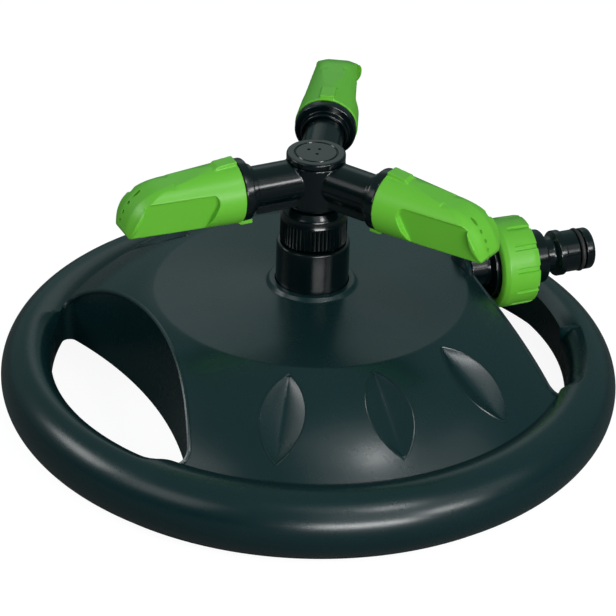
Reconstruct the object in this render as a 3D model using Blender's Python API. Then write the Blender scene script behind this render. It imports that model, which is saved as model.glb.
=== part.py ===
"""Rotary lawn sprinkler: three turning nozzles on a spinning hub, over a round base with two hand holes.

Run with: blender --background --python part.py
Units are metres and +Z is up. The origin is on the ground, on the axis that the hub spins about.
The photographed side of the object faces -Y. Azimuths are in degrees from +X, counter-clockwise from above.
"""

import math

import bmesh
import bpy
from mathutils import Matrix, Vector

# Clearances
FIT_GAP = 0.0003
RUNNING_GAP = 0.0004

# Base moulding
RING_OUTER_RADIUS = 0.115
RING_HEIGHT = 0.0255
RING_WIDTH = 0.0195
RING_FOOT_INSET = 0.0069
RING_FOOT_WIDTH = 0.0023
RING_CAVITY_HEIGHT = 0.0195
BASE_WALL = 0.003
VALLEY_INSET = 0.0190
VALLEY_HEIGHT = 0.024
CREASE_RADIUS = 0.058
CROWN_RISE = 0.0028
DOME_BULGE = 0.0032
DOME_TOP_RADIUS = 0.0175
DOME_TOP_HEIGHT = 0.0510
FOOT_COLLAR_HEIGHT = 0.0016
FRONT_AZIMUTH = 292.2
RIB_THICKNESS = 0.0022
RIB_LIFT = 0.008
RIB_START = 0.034

# Hand holes
HOLE_SPREAD = 87.1
HOLE_NEAR = 0.0614
HOLE_ARC_RADIUS = 0.162
HOLE_CORNER_RADIUS = 0.0030
DOME_WALL_LIFT = 0.0070
RING_WALL_LIFT = 0.0130
EDGE_WIDTH = 0.0065
EDGE_DROP = 0.0068
EDGE_FADE = 7.0
EDGE_MARGIN = 0.8
PAD_HALF_ANGLE = 11.3
PAD_FADE = 1.4

# Leaf-shaped recesses
LEAF_LENGTH = 0.036
LEAF_WIDTH = 0.0162
LEAF_DEPTH = 0.0031
LEAF_RADIUS = 0.0775
LEAF_BACK_MARGIN = 0.004
LEAF_SPACING = 28.7

# Post and water way under the dome
POST_RADIUS = 0.0135
POST_HEIGHT = 0.0177
POST_RIM_CHAMFER = 0.0005
POST_FLANGE_RADIUS = 0.0158
POST_FLANGE_THICKNESS = 0.0016
POST_BORE_RADIUS = 0.0093
POST_STEP_RISE = 0.0013
POST_STEP_RADIUS = 0.0073
POST_STEP_THICKNESS = 0.0035
POST_NUT_DEPTH = 0.0065
POST_NUT_WALL = 0.0022
CUP_RADIUS = 0.0166
CUP_CHAMBER_RADIUS = 0.0090
CUP_CHAMBER_DROP = 0.0192
CUP_FLOOR = 0.0028
SLEEVE_SEAL_THICKNESS = 0.0012
SOCKET_WALL = 0.0026
SOCKET_END = 0.026
EAR_RADIUS = 0.0045
EAR_REACH = 0.0255
EAR_DROP = 0.0130
EAR_THICKNESS = 0.0030
SCREW_SHANK_RADIUS = 0.0014
SCREW_SHANK_LENGTH = 0.0062
SCREW_HEAD_RADIUS = 0.0032
SCREW_HEAD_HEIGHT = 0.0022

# Inlet
INLET_AZIMUTH = FRONT_AZIMUTH + 90 - 360
INLET_DROP = 0.0055
DUCT_DROP = 0.0075
DUCT_RADIUS = 0.0052
DUCT_BORE_RADIUS = 0.0037
DUCT_END = 0.0112
DUCT_END_WALL = 0.0010
STUB_START = 0.0530
STUB_RADIUS = 0.0073
STUB_BORE_RADIUS = 0.0050
INLET_BOSS_RADIUS = 0.0090
INLET_BOSS_START = 0.0508
INLET_BOSS_ROUNDING = 0.0034
SHOULDER_START = 0.0698
SHOULDER_THICKNESS = 0.0013
SHOULDER_RADIUS = 0.0122
THREAD_RADIUS = 0.0119
THREAD_LENGTH = 0.0084
THREAD_GAP = 0.0017
NUT_RADIUS = 0.0169
NUT_LENGTH = 0.0146
NUT_PLAIN_BAND = 0.0055
NUT_FLUTES = 12
NUT_FLUTE_DEPTH = 0.0008
NUT_ROUNDING = 0.0024
NUT_CHAMFER = 0.0007
WASHER_THICKNESS = 0.0016
NIPPLE_FLANGE_THICKNESS = 0.0017
NIPPLE_BASE_RADIUS = 0.0102
NIPPLE_BASE_END = 0.0931
NIPPLE_NECK_RADIUS = 0.0068
NIPPLE_COLLAR_START = 0.0985
NIPPLE_COLLAR_LENGTH = 0.0030
NIPPLE_COLLAR_RADIUS = 0.0087
NIPPLE_BARREL_RADIUS = 0.0079
NIPPLE_GROOVE_START = 0.1068
NIPPLE_GROOVE_WIDTH = 0.0028
NIPPLE_GROOVE_RADIUS = 0.0064
NIPPLE_TIP = 0.1131
NIPPLE_TIP_CHAMFER = 0.0008
NIPPLE_BORE_RADIUS = 0.0048

# Rotor
ARM_LIFT = 0.0104
ARM_AZIMUTHS = (205.9, 325.9, 83.9)
ARM_RISES = (0.0, 0.0, 7.5)
SPINDLE_RADIUS = 0.0064
SPINDLE_BORE_RADIUS = 0.0044
SPINDLE_FOOT_DROP = 0.0028
SPINDLE_TOP_DROP = 0.0035
SPINDLE_FLANGE_RADIUS = 0.0088
SPINDLE_FLANGE_THICKNESS = 0.0020
THRUST_WASHER_THICKNESS = 0.0010
SPINDLE_SEAL_THICKNESS = 0.0026
KNURL_RADIUS = 0.0123
KNURL_DEPTH = 0.0006
KNURL_RIBS = 48
KNURL_HEIGHT = 0.0094
SHOULDER_RISE = 0.0050
SHOULDER_TOP_RADIUS = 0.0098
SKIRT_GAP = 0.0012
HUB_RADIUS = 0.0108
HUB_CHAMFER = 0.0006
CAP_RADIUS = 0.0108
CAP_THICKNESS = 0.0023
CAP_LIFT = 0.0094
CAP_PLUG_RADIUS = 0.0042
CAP_PLUG_LENGTH = 0.0040
CAP_GROOVE_RADIUS = 0.0077
CAP_GROOVE_WIDTH = 0.0008
CAP_GROOVE_DEPTH = 0.0005
CAP_HOLE_RADIUS = 0.0006
ARM_RADIUS = 0.0075
ARM_BORE_RADIUS = 0.0050
ARM_RIB_WIDTH = 0.0105
ARM_RIB_DROP = 0.0088
ARM_RIB_END = 0.0252
COLLAR_START = 0.0258
COLLAR_NECK_LENGTH = 0.0026
COLLAR_NECK_RADIUS = 0.0088
COLLAR_FLANGE_RADIUS = 0.0114
COLLAR_FLANGE_THICKNESS = 0.0035
SPIGOT_END = 0.0414
SEAL_START = 0.0354
SEAL_WIDTH = 0.0022
SEAL_GROOVE_DEPTH = 0.0013

# Nozzles
NOZZLE_BASE_RADIUS = 0.01175
NOZZLE_TIP = 0.0762
NOZZLE_TIP_WIDTH = 0.0164
NOZZLE_TOP_AT_TIP = 0.0086
NOZZLE_BOTTOM_AT_TIP = 0.0112
NOZZLE_END_RADIUS = 0.0175
NOZZLE_CORNER_RADIUS = 0.0035
NOZZLE_SOCKET_RADIUS = 0.0086
NOZZLE_WATER_RADIUS = 0.0040
NOZZLE_WATER_END = 0.0600
FACET_START = 0.0445
FACET_TOP = 0.0038
FACET_LEAN = 0.25
FACET_TAPER = 0.107
FACET_HALF_WIDTH = 0.0101
FACET_END_MARGIN = 0.0060
JET_RADIUS = 0.0006
JET_OFFSET = 0.0020
JET_HEIGHTS = (0.0050, 0.0020, -0.0012, -0.0043, -0.0072)
TAB_LENGTH = 0.0072
TAB_OVERHANG = 0.0041
TAB_WIDTH = 0.0042
TAB_DEPTH = 0.0022
LUG_LENGTH = 0.0092
LUG_WIDTH = 0.0055
LUG_RISE = 0.0007

# Segment counts
FINE = 46
MEDIUM = 32
ROUND = 22
SMALL = 14
TINY = 6

SMOOTH_ANGLE = math.radians(32)
ARM_NUMBERS = range(1, len(ARM_AZIMUTHS) + 1)

# How far a cutting shape runs past what it cuts, and the ends of one that cuts right through the base
OVERCUT = 0.004
BELOW_ALL = -0.006
ABOVE_BASE = DOME_TOP_HEIGHT + 0.019

# Sizes that follow from the ones above
RING_MIDDLE = RING_OUTER_RADIUS - RING_HEIGHT / 2
RING_INNER_RADIUS = RING_OUTER_RADIUS - RING_WIDTH
RING_FOOT_RADIUS = RING_OUTER_RADIUS - RING_FOOT_INSET
RING_FOOT_INNER_RADIUS = RING_FOOT_RADIUS - RING_FOOT_WIDTH
VALLEY_RADIUS = RING_OUTER_RADIUS - VALLEY_INSET
CREASE_HEIGHT = DOME_TOP_HEIGHT - CROWN_RISE
HOLE_AZIMUTHS = (FRONT_AZIMUTH + HOLE_SPREAD - 360, FRONT_AZIMUTH - HOLE_SPREAD)
INLET_HEIGHT = DOME_TOP_HEIGHT - INLET_DROP
CUP_CHAMBER_FLOOR = DOME_TOP_HEIGHT - CUP_CHAMBER_DROP
EAR_BOTTOM = DOME_TOP_HEIGHT - EAR_DROP
POST_TOP = DOME_TOP_HEIGHT + POST_HEIGHT
POST_NUT_SEAT = POST_TOP - POST_NUT_DEPTH
POST_STEP_HEIGHT = DOME_TOP_HEIGHT + POST_STEP_RISE
SPINDLE_BOTTOM = POST_STEP_HEIGHT - SPINDLE_FOOT_DROP
RETAINING_NUT_TOP = POST_TOP + FIT_GAP + KNURL_HEIGHT + SHOULDER_RISE
SKIRT_BOTTOM = RETAINING_NUT_TOP + SKIRT_GAP
ARM_HEIGHT = SKIRT_BOTTOM + ARM_LIFT
SPINDLE_TOP = ARM_HEIGHT - SPINDLE_TOP_DROP
CAP_TOP = ARM_HEIGHT + CAP_LIFT


def clear_scene():
    """Removes every object that the file starts with."""
    for existing in list(bpy.data.objects):
        bpy.data.objects.remove(existing)


def plastic(name, colour, roughness):
    """Returns a plain plastic or rubber material."""
    material = bpy.data.materials.new(name)
    material.use_nodes = True
    shader = material.node_tree.nodes["Principled BSDF"]
    shader.inputs["Base Color"].default_value = (*colour, 1.0)
    shader.inputs["Roughness"].default_value = roughness
    shader.inputs["Metallic"].default_value = 0.0
    return material


def metal(name, colour, roughness):
    """Returns a plain metal material."""
    material = plastic(name, colour, roughness)
    material.node_tree.nodes["Principled BSDF"].inputs["Metallic"].default_value = 1.0
    return material


def mesh_from(name, bm):
    """Closes a bmesh into a mesh, with its doubles merged and its faces pointing out."""
    bmesh.ops.remove_doubles(bm, verts=bm.verts, dist=5e-6)
    bmesh.ops.dissolve_degenerate(bm, edges=bm.edges, dist=1e-8)
    bmesh.ops.recalc_face_normals(bm, faces=bm.faces)
    mesh = bpy.data.meshes.new(name)
    bm.to_mesh(mesh)
    bm.free()
    return mesh


def place(name, mesh, material=None, matrix=None):
    """Links a mesh as an object. A moving piece's matrix puts its origin on its joint's axis."""
    mesh.shade_smooth()
    mesh.set_sharp_from_angle(angle=SMOOTH_ANGLE)
    made = bpy.data.objects.new(name, mesh)
    if material:
        mesh.materials.append(material)
    bpy.context.scene.collection.objects.link(made)
    if matrix:
        made.matrix_world = matrix
    return made


def tool(name, mesh, matrix=None):
    """Links a mesh that only cuts or adds to another, and so isn't a piece."""
    made = place(name, mesh, matrix=matrix)
    made.hide_render = True
    made.display_type = "WIRE"
    return made


def combine(target, other, operation):
    """Adds a Boolean modifier to target."""
    modifier = target.modifiers.new(operation.lower() + "_" + other.name, "BOOLEAN")
    modifier.object = other
    modifier.operation = operation
    modifier.solver = "EXACT"


def cut(target, other):
    combine(target, other, "DIFFERENCE")


def add(target, other):
    combine(target, other, "UNION")


def joined(name, meshes):
    """Returns one mesh that holds several separate closed bodies."""
    bm = bmesh.new()
    for mesh, matrix in meshes:
        copy = mesh.copy()
        copy.transform(matrix)
        bm.from_mesh(copy)
        bpy.data.meshes.remove(copy)
    mesh = bpy.data.meshes.new(name)
    bm.to_mesh(mesh)
    bm.free()
    return mesh


def turned(name, profile, segments, along="Z", closed=True):
    """Turns a profile of (radius, distance) points about the Z or X axis.

    A closed profile makes a ring or a tube. An open one starts and ends on the axis.
    """
    bm = bmesh.new()
    if along == "Z":
        corners = [bm.verts.new((r, 0.0, h)) for r, h in profile]
        axis = (0.0, 0.0, 1.0)
    else:
        corners = [bm.verts.new((h, 0.0, r)) for r, h in profile]
        axis = (1.0, 0.0, 0.0)
    edges = [bm.edges.new(pair) for pair in zip(corners, corners[1:])]
    if closed:
        edges.append(bm.edges.new((corners[-1], corners[0])))
    bmesh.ops.spin(
        bm, geom=corners + edges, cent=(0, 0, 0), axis=axis, dvec=(0, 0, 0),
        angle=math.tau, steps=segments, use_merge=False, use_normal_flip=False,
        use_duplicate=False,
    )
    return mesh_from(name, bm)


def tube(name, outer, inner, start, end, segments, along="Z"):
    """Returns a plain ring or tube."""
    profile = [(inner, start), (outer, start), (outer, end), (inner, end)]
    return turned(name, profile, segments, along)


def rod(name, radius, start, end, segments, along="Z"):
    """Returns a plain solid cylinder."""
    profile = [(0.0, start), (radius, start), (radius, end), (0.0, end)]
    return turned(name, profile, segments, along, closed=False)


def rolled_ring(name, middle_radius, tube_radius, centre, segments, along="Z"):
    """Returns an O-ring whose section is a small polygon."""
    profile = []
    for step in range(TINY):
        angle = math.tau * step / TINY
        profile.append(
            (middle_radius + tube_radius * math.cos(angle), centre + tube_radius * math.sin(angle))
        )
    return turned(name, profile, segments, along)


def prism(name, outline, low, high, normal="Z"):
    """Extrudes a flat outline along Z, or along Y for an outline of (x, z) points."""
    bm = bmesh.new()
    if normal == "Z":
        corners = [bm.verts.new((x, y, low)) for x, y in outline]
        travel = (0.0, 0.0, high - low)
    else:
        corners = [bm.verts.new((x, low, z)) for x, z in outline]
        travel = (0.0, high - low, 0.0)
    face = bm.faces.new(corners)
    grown = bmesh.ops.extrude_face_region(bm, geom=[face])
    moved = [v for v in grown["geom"] if isinstance(v, bmesh.types.BMVert)]
    bmesh.ops.translate(bm, verts=moved, vec=travel)
    return mesh_from(name, bm)


def arc(centre, radius, start, end, steps):
    """Returns points on a circle from one angle to another, in degrees."""
    points = []
    for step in range(steps + 1):
        angle = math.radians(start + (end - start) * step / steps)
        points.append((centre[0] + radius * math.cos(angle), centre[1] + radius * math.sin(angle)))
    return points


def loft(name, rings):
    """Joins rings of equal point counts and closes both ends with a face."""
    bm = bmesh.new()
    loops = [[bm.verts.new(point) for point in ring] for ring in rings]
    count = len(loops[0])
    for lower, upper in zip(loops, loops[1:]):
        for i in range(count):
            j = (i + 1) % count
            bm.faces.new((lower[i], lower[j], upper[j], upper[i]))
    bm.faces.new(list(reversed(loops[0])))
    bm.faces.new(loops[-1])
    return mesh_from(name, bm)


def about_post(azimuth, height=0.0):
    """Returns a frame on the post's axis whose X runs outwards at an azimuth."""
    return Matrix.Translation((0, 0, height)) @ Matrix.Rotation(math.radians(azimuth), 4, "Z")


def about_arm(number):
    """Returns a frame at the hub's middle whose X runs along an arm, counted from 1."""
    rise = Matrix.Rotation(math.radians(-ARM_RISES[number - 1]), 4, "Y")
    return about_post(ARM_AZIMUTHS[number - 1], ARM_HEIGHT) @ rise


# Base moulding


def dome_arc():
    """Returns the centre, radius and end angles of the dome's lower, bulging flank."""
    top = Vector((CREASE_RADIUS, CREASE_HEIGHT))
    foot = Vector((VALLEY_RADIUS, VALLEY_HEIGHT))
    half = (foot - top) / 2
    radius = (half.length_squared + DOME_BULGE ** 2) / (2 * DOME_BULGE)
    inward = Vector((-abs(half.y), -abs(half.x))).normalized()
    centre = top + half + inward * (radius - DOME_BULGE)
    angles = [math.degrees(math.atan2(p.y - centre.y, p.x - centre.x)) for p in (foot, top)]
    return centre, radius, angles


def dome_flank(depth, steps):
    """Returns points up the dome's flank, moved inwards by a depth."""
    centre, radius, (low, high) = dome_arc()
    return arc(centre, radius - depth, low, high, steps)


def crown_height(radius):
    """Returns the height of the shallow cone on top of the dome."""
    share = (CREASE_RADIUS - radius) / (CREASE_RADIUS - DOME_TOP_RADIUS)
    return CREASE_HEIGHT + (DOME_TOP_HEIGHT - CREASE_HEIGHT) * share


def base_profile():
    """Returns the base's outer outline, from the ground on the axis to the top on the axis."""
    half = RING_HEIGHT / 2
    flat = math.degrees(math.acos((RING_FOOT_RADIUS - RING_MIDDLE) / half))
    rim = arc((RING_MIDDLE, half), half, -flat, 90, 8)
    inner_half = RING_MIDDLE - VALLEY_RADIUS
    flank = []
    for angle in (65, 35):
        share = math.cos(math.radians(angle))
        drop = (RING_HEIGHT - VALLEY_HEIGHT) * (1 - math.sin(math.radians(angle)))
        flank.append((RING_MIDDLE - inner_half * share, RING_HEIGHT - drop))
    collar = POST_RADIUS + FIT_GAP + 0.0016
    return (
        [(0.0, 0.0), (RING_FOOT_RADIUS - 0.0012, 0.0)] + rim + flank
        + dome_flank(0.0, 4)
        + [(DOME_TOP_RADIUS, DOME_TOP_HEIGHT)]
        + [(collar + 0.0008, DOME_TOP_HEIGHT + FOOT_COLLAR_HEIGHT * 0.35)]
        + [(collar, DOME_TOP_HEIGHT + FOOT_COLLAR_HEIGHT)]
        + [(0.0, DOME_TOP_HEIGHT + FOOT_COLLAR_HEIGHT)]
    )


def cavity_profile():
    """Returns the outline of the hollow under the ring and the dome."""
    below = -0.002
    cover = BASE_WALL
    return (
        [(0.0, below), (RING_FOOT_INNER_RADIUS, below)]
        + [(RING_FOOT_INNER_RADIUS - 0.0006, RING_CAVITY_HEIGHT - 0.003)]
        + [(RING_MIDDLE, RING_CAVITY_HEIGHT)]
        + dome_flank(cover, 3)
        + [(DOME_TOP_RADIUS, DOME_TOP_HEIGHT - cover)]
        + [(0.0, DOME_TOP_HEIGHT - cover)]
    )


def hand_hole_outline(grow, ring_grow):
    """Returns the outline of a hand hole, pointing along +X, grown outwards by two distances.

    It is the lens that two circles share, one about the post, which the ring's own growth moves,
    and one about a far centre, with a rounded corner at each end.
    """
    far = Vector((HOLE_NEAR + HOLE_ARC_RADIUS, 0.0))
    big = HOLE_ARC_RADIUS + grow
    ring = RING_INNER_RADIUS + ring_grow
    corner = HOLE_CORNER_RADIUS + grow
    a = ring - corner
    b = big - corner
    x = (far.x ** 2 + a ** 2 - b ** 2) / (2 * far.x)
    y = math.sqrt(a ** 2 - x ** 2)
    ring_angle = math.degrees(math.atan2(y, x))
    far_angle = math.degrees(math.atan2(y, x - far.x))
    outline = arc((0.0, 0.0), ring, -ring_angle, ring_angle, 12)
    outline += arc((x, y), corner, ring_angle, far_angle, 4)[1:]
    outline += arc(far, big, far_angle, 360 - far_angle, 12)[1:]
    outline += arc((x, -y), corner, 360 - far_angle, 360 - ring_angle, 4)[1:-1]
    return outline


def ring_wall_outline():
    """Returns the outline of the wall between a hand hole and the hollow under the ring."""
    reach = hole_half_angle() + 2.0
    inner = arc((0.0, 0.0), RING_INNER_RADIUS - 0.0022, -reach, reach, 10)
    outer = arc((0.0, 0.0), RING_INNER_RADIUS + BASE_WALL, -reach, reach, 10)
    return inner + list(reversed(outer))


def hole_half_angle():
    """Returns half the angle, in degrees, that a hand hole's corner centres span about the post."""
    far = HOLE_NEAR + HOLE_ARC_RADIUS
    a = RING_INNER_RADIUS - HOLE_CORNER_RADIUS
    b = HOLE_ARC_RADIUS - HOLE_CORNER_RADIUS
    return math.degrees(math.acos((far ** 2 + a ** 2 - b ** 2) / (2 * far * a)))


def edge_cutter(start, end, fade_in, fade_out):
    """Returns the cutter that rounds the ring's inner top edge between two angles, in degrees.

    The rounding grows from nothing over the first angle of fade and shrinks over the last one.
    """
    steps = 10
    quarter = 3
    rings = []
    for step in range(steps + 1):
        angle = start + (end - start) * step / steps
        share = min((angle - start) / fade_in, (end - angle) / fade_out, 1.0)
        size = 0.12 + 0.88 * math.sin(share * math.pi / 2)
        top = RING_HEIGHT + 0.0012
        low = RING_HEIGHT - EDGE_DROP * size
        wall = RING_INNER_RADIUS
        section = [(wall - 0.0015, low - 0.001), (wall - 0.0015, top), (wall + EDGE_WIDTH * size, top)]
        for turn in range(quarter + 1):
            bend = math.radians(90 - 90 * turn / quarter)
            section.append((
                wall + EDGE_WIDTH * size * (1 - math.cos(bend)),
                low + EDGE_DROP * size * math.sin(bend),
            ))
        section.append((wall, low - 0.001))
        around = math.radians(angle)
        rings.append([(r * math.cos(around), r * math.sin(around), z) for r, z in section])
    return loft("edge", rings)


def leaf_mesh(name, length, width, depth):
    """Returns a leaf-shaped cutter: pointed ends, a rounded valley and a top above the surface."""
    stations = 6
    side = 2
    over = depth + 0.004
    bm = bmesh.new()
    ends = [bm.verts.new((sign * length / 2, 0.0, over)) for sign in (-1, 1)]
    rings = []
    for station in range(1, stations):
        t = -1 + 2 * station / stations
        bow = 1 - t * t
        half = width / 2 * bow * (1 + over * 0.35 / depth)
        bottom = -depth * bow ** 0.8
        ring = []
        for step in range(-side, side + 1):
            share = step / side
            ring.append(bm.verts.new(
                (t * length / 2, half * share, bottom + (over - bottom) * abs(share) ** 1.5)
            ))
        rings.append(ring)
    for lower, upper in zip(rings, rings[1:]):
        for i in range(2 * side):
            bm.faces.new((lower[i], lower[i + 1], upper[i + 1], upper[i]))
        bm.faces.new((lower[-1], lower[0], upper[0], upper[-1]))
    for ring, end in ((rings[0], ends[0]), (rings[-1], ends[1])):
        for i in range(2 * side):
            bm.faces.new((ring[i], ring[i + 1], end))
        bm.faces.new((ring[-1], ring[0], end))
    return mesh_from(name, bm)


def leaf_frames(sink=0.0):
    """Returns the frames of the leaf recesses on the two closed flanks of the dome."""
    centre, radius, _ = dome_arc()
    angle = math.acos((LEAF_RADIUS - centre.x) / radius)
    height = centre.y + radius * math.sin(angle)
    spot = Vector((LEAF_RADIUS, 0.0, height))
    normal = Vector((math.cos(angle), 0.0, math.sin(angle)))
    tilt = Matrix.Rotation(math.pi / 2 - angle, 4, "Y")
    seat = Matrix.Translation(spot - normal * sink) @ tilt
    frames = []
    for side in (0, 180):
        for step in (-1, 0, 1):
            azimuth = FRONT_AZIMUTH + side + step * LEAF_SPACING
            frames.append(about_post(azimuth) @ seat)
    return frames


def screw_frames():
    """Returns the frames of the three screws that hold the elbow, clear of the inlet duct."""
    return [
        about_post(INLET_AZIMUTH + turn) @ Matrix.Translation((EAR_REACH, 0, 0))
        for turn in (60, 180, 300)
    ]


def base_cavity():
    """Makes the hollow of the base, less the walls, ribs and bosses that stand in it."""
    cavity = tool("tool_cavity", turned("cavity", cavity_profile(), FINE, closed=False))
    dome_side = prism("hole_wall", hand_hole_outline(BASE_WALL, -0.001), DOME_WALL_LIFT, ABOVE_BASE)
    ring_side = prism("ring_wall", ring_wall_outline(), RING_WALL_LIFT, ABOVE_BASE)
    for word, wall in (("hole", dome_side), ("ring", ring_side)):
        walls = joined(f"{word}_walls", [(wall, about_post(azimuth)) for azimuth in HOLE_AZIMUTHS])
        cut(cavity, tool(f"tool_{word}_walls", walls))
    half = RIB_THICKNESS / 2
    rib = prism(
        "rib", [(RIB_START, -half), (RING_MIDDLE, -half), (RING_MIDDLE, half), (RIB_START, half)],
        RIB_LIFT, ABOVE_BASE,
    )
    ribs = []
    for side in (0, 180):
        for step in (-1.5, -0.5, 0.5, 1.5):
            ribs.append((rib, about_post(FRONT_AZIMUTH + side + step * LEAF_SPACING)))
    cut(cavity, tool("tool_ribs", joined("ribs", ribs)))
    backs = leaf_mesh("leaf_back", LEAF_LENGTH + LEAF_BACK_MARGIN, LEAF_WIDTH + LEAF_BACK_MARGIN, LEAF_DEPTH)
    cut(cavity, tool("tool_leaf_backs", joined("leaf_backs", [(backs, f) for f in leaf_frames(BASE_WALL)])))
    boss = rod("screw_boss", EAR_RADIUS - 0.0005, EAR_BOTTOM + EAR_THICKNESS + FIT_GAP, ABOVE_BASE, SMALL)
    cut(cavity, tool("tool_screw_bosses", joined("screw_bosses", [(boss, f) for f in screw_frames()])))
    return cavity


def base_shell(material):
    """Makes the base: a ring joined to a dome by two closed flanks, open below."""
    shell = place("base_shell", turned("base_shell", base_profile(), FINE, closed=False), material)
    far = INLET_BOSS_START + INLET_BOSS_ROUNDING
    boss_profile = [
        (0.0, INLET_BOSS_START), (INLET_BOSS_RADIUS * 0.5, INLET_BOSS_START + INLET_BOSS_ROUNDING * 0.13),
        (INLET_BOSS_RADIUS * 0.86, INLET_BOSS_START + INLET_BOSS_ROUNDING * 0.5),
        (INLET_BOSS_RADIUS, far), (INLET_BOSS_RADIUS, HOLE_NEAR + OVERCUT), (0.0, HOLE_NEAR + OVERCUT),
    ]
    boss = turned("inlet_boss", boss_profile, ROUND, "X", closed=False)
    add(shell, tool("tool_inlet_boss", boss, about_post(INLET_AZIMUTH, INLET_HEIGHT)))
    holes = [
        (prism("hole", hand_hole_outline(0.0, 0.0), BELOW_ALL, ABOVE_BASE), about_post(azimuth))
        for azimuth in HOLE_AZIMUTHS
    ]
    cut(shell, tool("tool_hand_holes", joined("hand_holes", holes)))
    end = hole_half_angle() - EDGE_MARGIN
    inlet_side, far_side = HOLE_AZIMUTHS
    pad = INLET_AZIMUTH - inlet_side
    runs = [(far_side, -end, end, EDGE_FADE, EDGE_FADE)]
    runs += [(inlet_side, -end, pad - PAD_HALF_ANGLE, EDGE_FADE, PAD_FADE)]
    runs += [(inlet_side, pad + PAD_HALF_ANGLE, end, PAD_FADE, EDGE_FADE)]
    edges = [(edge_cutter(*run[1:]), about_post(run[0])) for run in runs]
    cut(shell, tool("tool_ring_edges", joined("ring_edges", edges)))
    cut(shell, base_cavity())
    leaf = leaf_mesh("leaf", LEAF_LENGTH, LEAF_WIDTH, LEAF_DEPTH)
    cut(shell, tool("tool_leaves", joined("leaves", [(leaf, f) for f in leaf_frames()])))
    cut(shell, tool("tool_post_hole", rod("post_hole", POST_RADIUS + FIT_GAP, POST_FLANGE_TOP - OVERCUT, ABOVE_BASE, MEDIUM)))
    bore = STUB_RADIUS + FIT_GAP
    cut(shell, tool(
        "tool_inlet_hole",
        rod("inlet_hole", bore, STUB_START - FIT_GAP, HOLE_NEAR + OVERCUT, ROUND, "X"),
        about_post(INLET_AZIMUTH, INLET_HEIGHT),
    ))
    pilot = rod("pilot", SCREW_SHANK_RADIUS + FIT_GAP, EAR_BOTTOM - OVERCUT, SCREW_TIP + 0.0006, TINY)
    cut(shell, tool("tool_pilots", joined("pilots", [(pilot, f) for f in screw_frames()])))
    return shell


SCREW_TIP = EAR_BOTTOM - FIT_GAP + SCREW_SHANK_LENGTH + EAR_THICKNESS


# Post and water way

POST_FLANGE_TOP = DOME_TOP_HEIGHT - BASE_WALL - FIT_GAP
POST_BOTTOM = POST_FLANGE_TOP - POST_FLANGE_THICKNESS
SLEEVE_SEAL_BOTTOM = POST_BOTTOM - FIT_GAP - SLEEVE_SEAL_THICKNESS
CUP_TOP = SLEEVE_SEAL_BOTTOM - FIT_GAP


def post_sleeve(material):
    """Makes the post: a stepped tube that carries the spindle, its seal and the retaining nut."""
    nut_bore = POST_RADIUS - POST_NUT_WALL
    chamfer = POST_RIM_CHAMFER
    profile = [
        (POST_FLANGE_RADIUS, POST_BOTTOM), (POST_FLANGE_RADIUS, POST_FLANGE_TOP),
        (POST_RADIUS, POST_FLANGE_TOP), (POST_RADIUS, POST_TOP - chamfer),
        (POST_RADIUS - chamfer, POST_TOP), (nut_bore, POST_TOP),
        (nut_bore, POST_NUT_SEAT), (POST_BORE_RADIUS, POST_NUT_SEAT),
        (POST_BORE_RADIUS, POST_STEP_HEIGHT), (POST_STEP_RADIUS, POST_STEP_HEIGHT),
        (POST_STEP_RADIUS, POST_STEP_HEIGHT - POST_STEP_THICKNESS),
        (POST_STEP_RADIUS + 0.0010, POST_BOTTOM),
    ]
    return place("post_sleeve", turned("post_sleeve", profile, MEDIUM), material)


DUCT_HEIGHT = INLET_HEIGHT - DUCT_DROP


def riser_elbow(material):
    """Makes the cup under the dome that turns the water from the duct up into the post."""
    outer = CUP_RADIUS
    low = CUP_CHAMBER_FLOOR - CUP_FLOOR
    profile = [
        (0.0, low), (outer - 0.0015, low), (outer, low + 0.0015), (outer, CUP_TOP),
        (CUP_CHAMBER_RADIUS, CUP_TOP), (CUP_CHAMBER_RADIUS, CUP_CHAMBER_FLOOR + 0.0020),
        (CUP_CHAMBER_RADIUS - 0.0020, CUP_CHAMBER_FLOOR), (0.0, CUP_CHAMBER_FLOOR),
    ]
    elbow = place("riser_elbow", turned("riser_elbow", profile, ROUND, closed=False), material)
    frame = about_post(INLET_AZIMUTH, DUCT_HEIGHT)
    socket_bore = DUCT_RADIUS + FIT_GAP
    socket = rod("socket", socket_bore + SOCKET_WALL, CUP_RADIUS - 0.003, SOCKET_END, SMALL, "X")
    add(elbow, tool("tool_socket", socket, frame))
    ear_outline = [(CUP_RADIUS - 0.0015, -EAR_RADIUS)]
    ear_outline += arc((EAR_REACH, 0), EAR_RADIUS, -90, 90, 8)
    ear_outline += [(CUP_RADIUS - 0.0015, EAR_RADIUS)]
    ear = prism("ear", ear_outline, EAR_BOTTOM, EAR_BOTTOM + EAR_THICKNESS)
    ears = [(ear, about_post(INLET_AZIMUTH + turn)) for turn in (60, 180, 300)]
    add(elbow, tool("tool_ears", joined("ears", ears)))
    hole = rod("ear_hole", SCREW_SHANK_RADIUS + FIT_GAP, EAR_BOTTOM - 0.002, EAR_BOTTOM + 0.008, TINY)
    cut(elbow, tool("tool_ear_holes", joined("ear_holes", [(hole, f) for f in screw_frames()])))
    rim = rod("rim_clearance", POST_FLANGE_RADIUS + 2 * FIT_GAP, CUP_TOP, CUP_TOP + 0.006, ROUND + 2)
    cut(elbow, tool("tool_rim_clearance", rim))
    way = rod("duct_way", socket_bore, CUP_CHAMBER_RADIUS - 0.002, SOCKET_END + 0.002, SMALL + 2, "X")
    cut(elbow, tool("tool_duct_way", way, frame))
    return elbow


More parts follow.
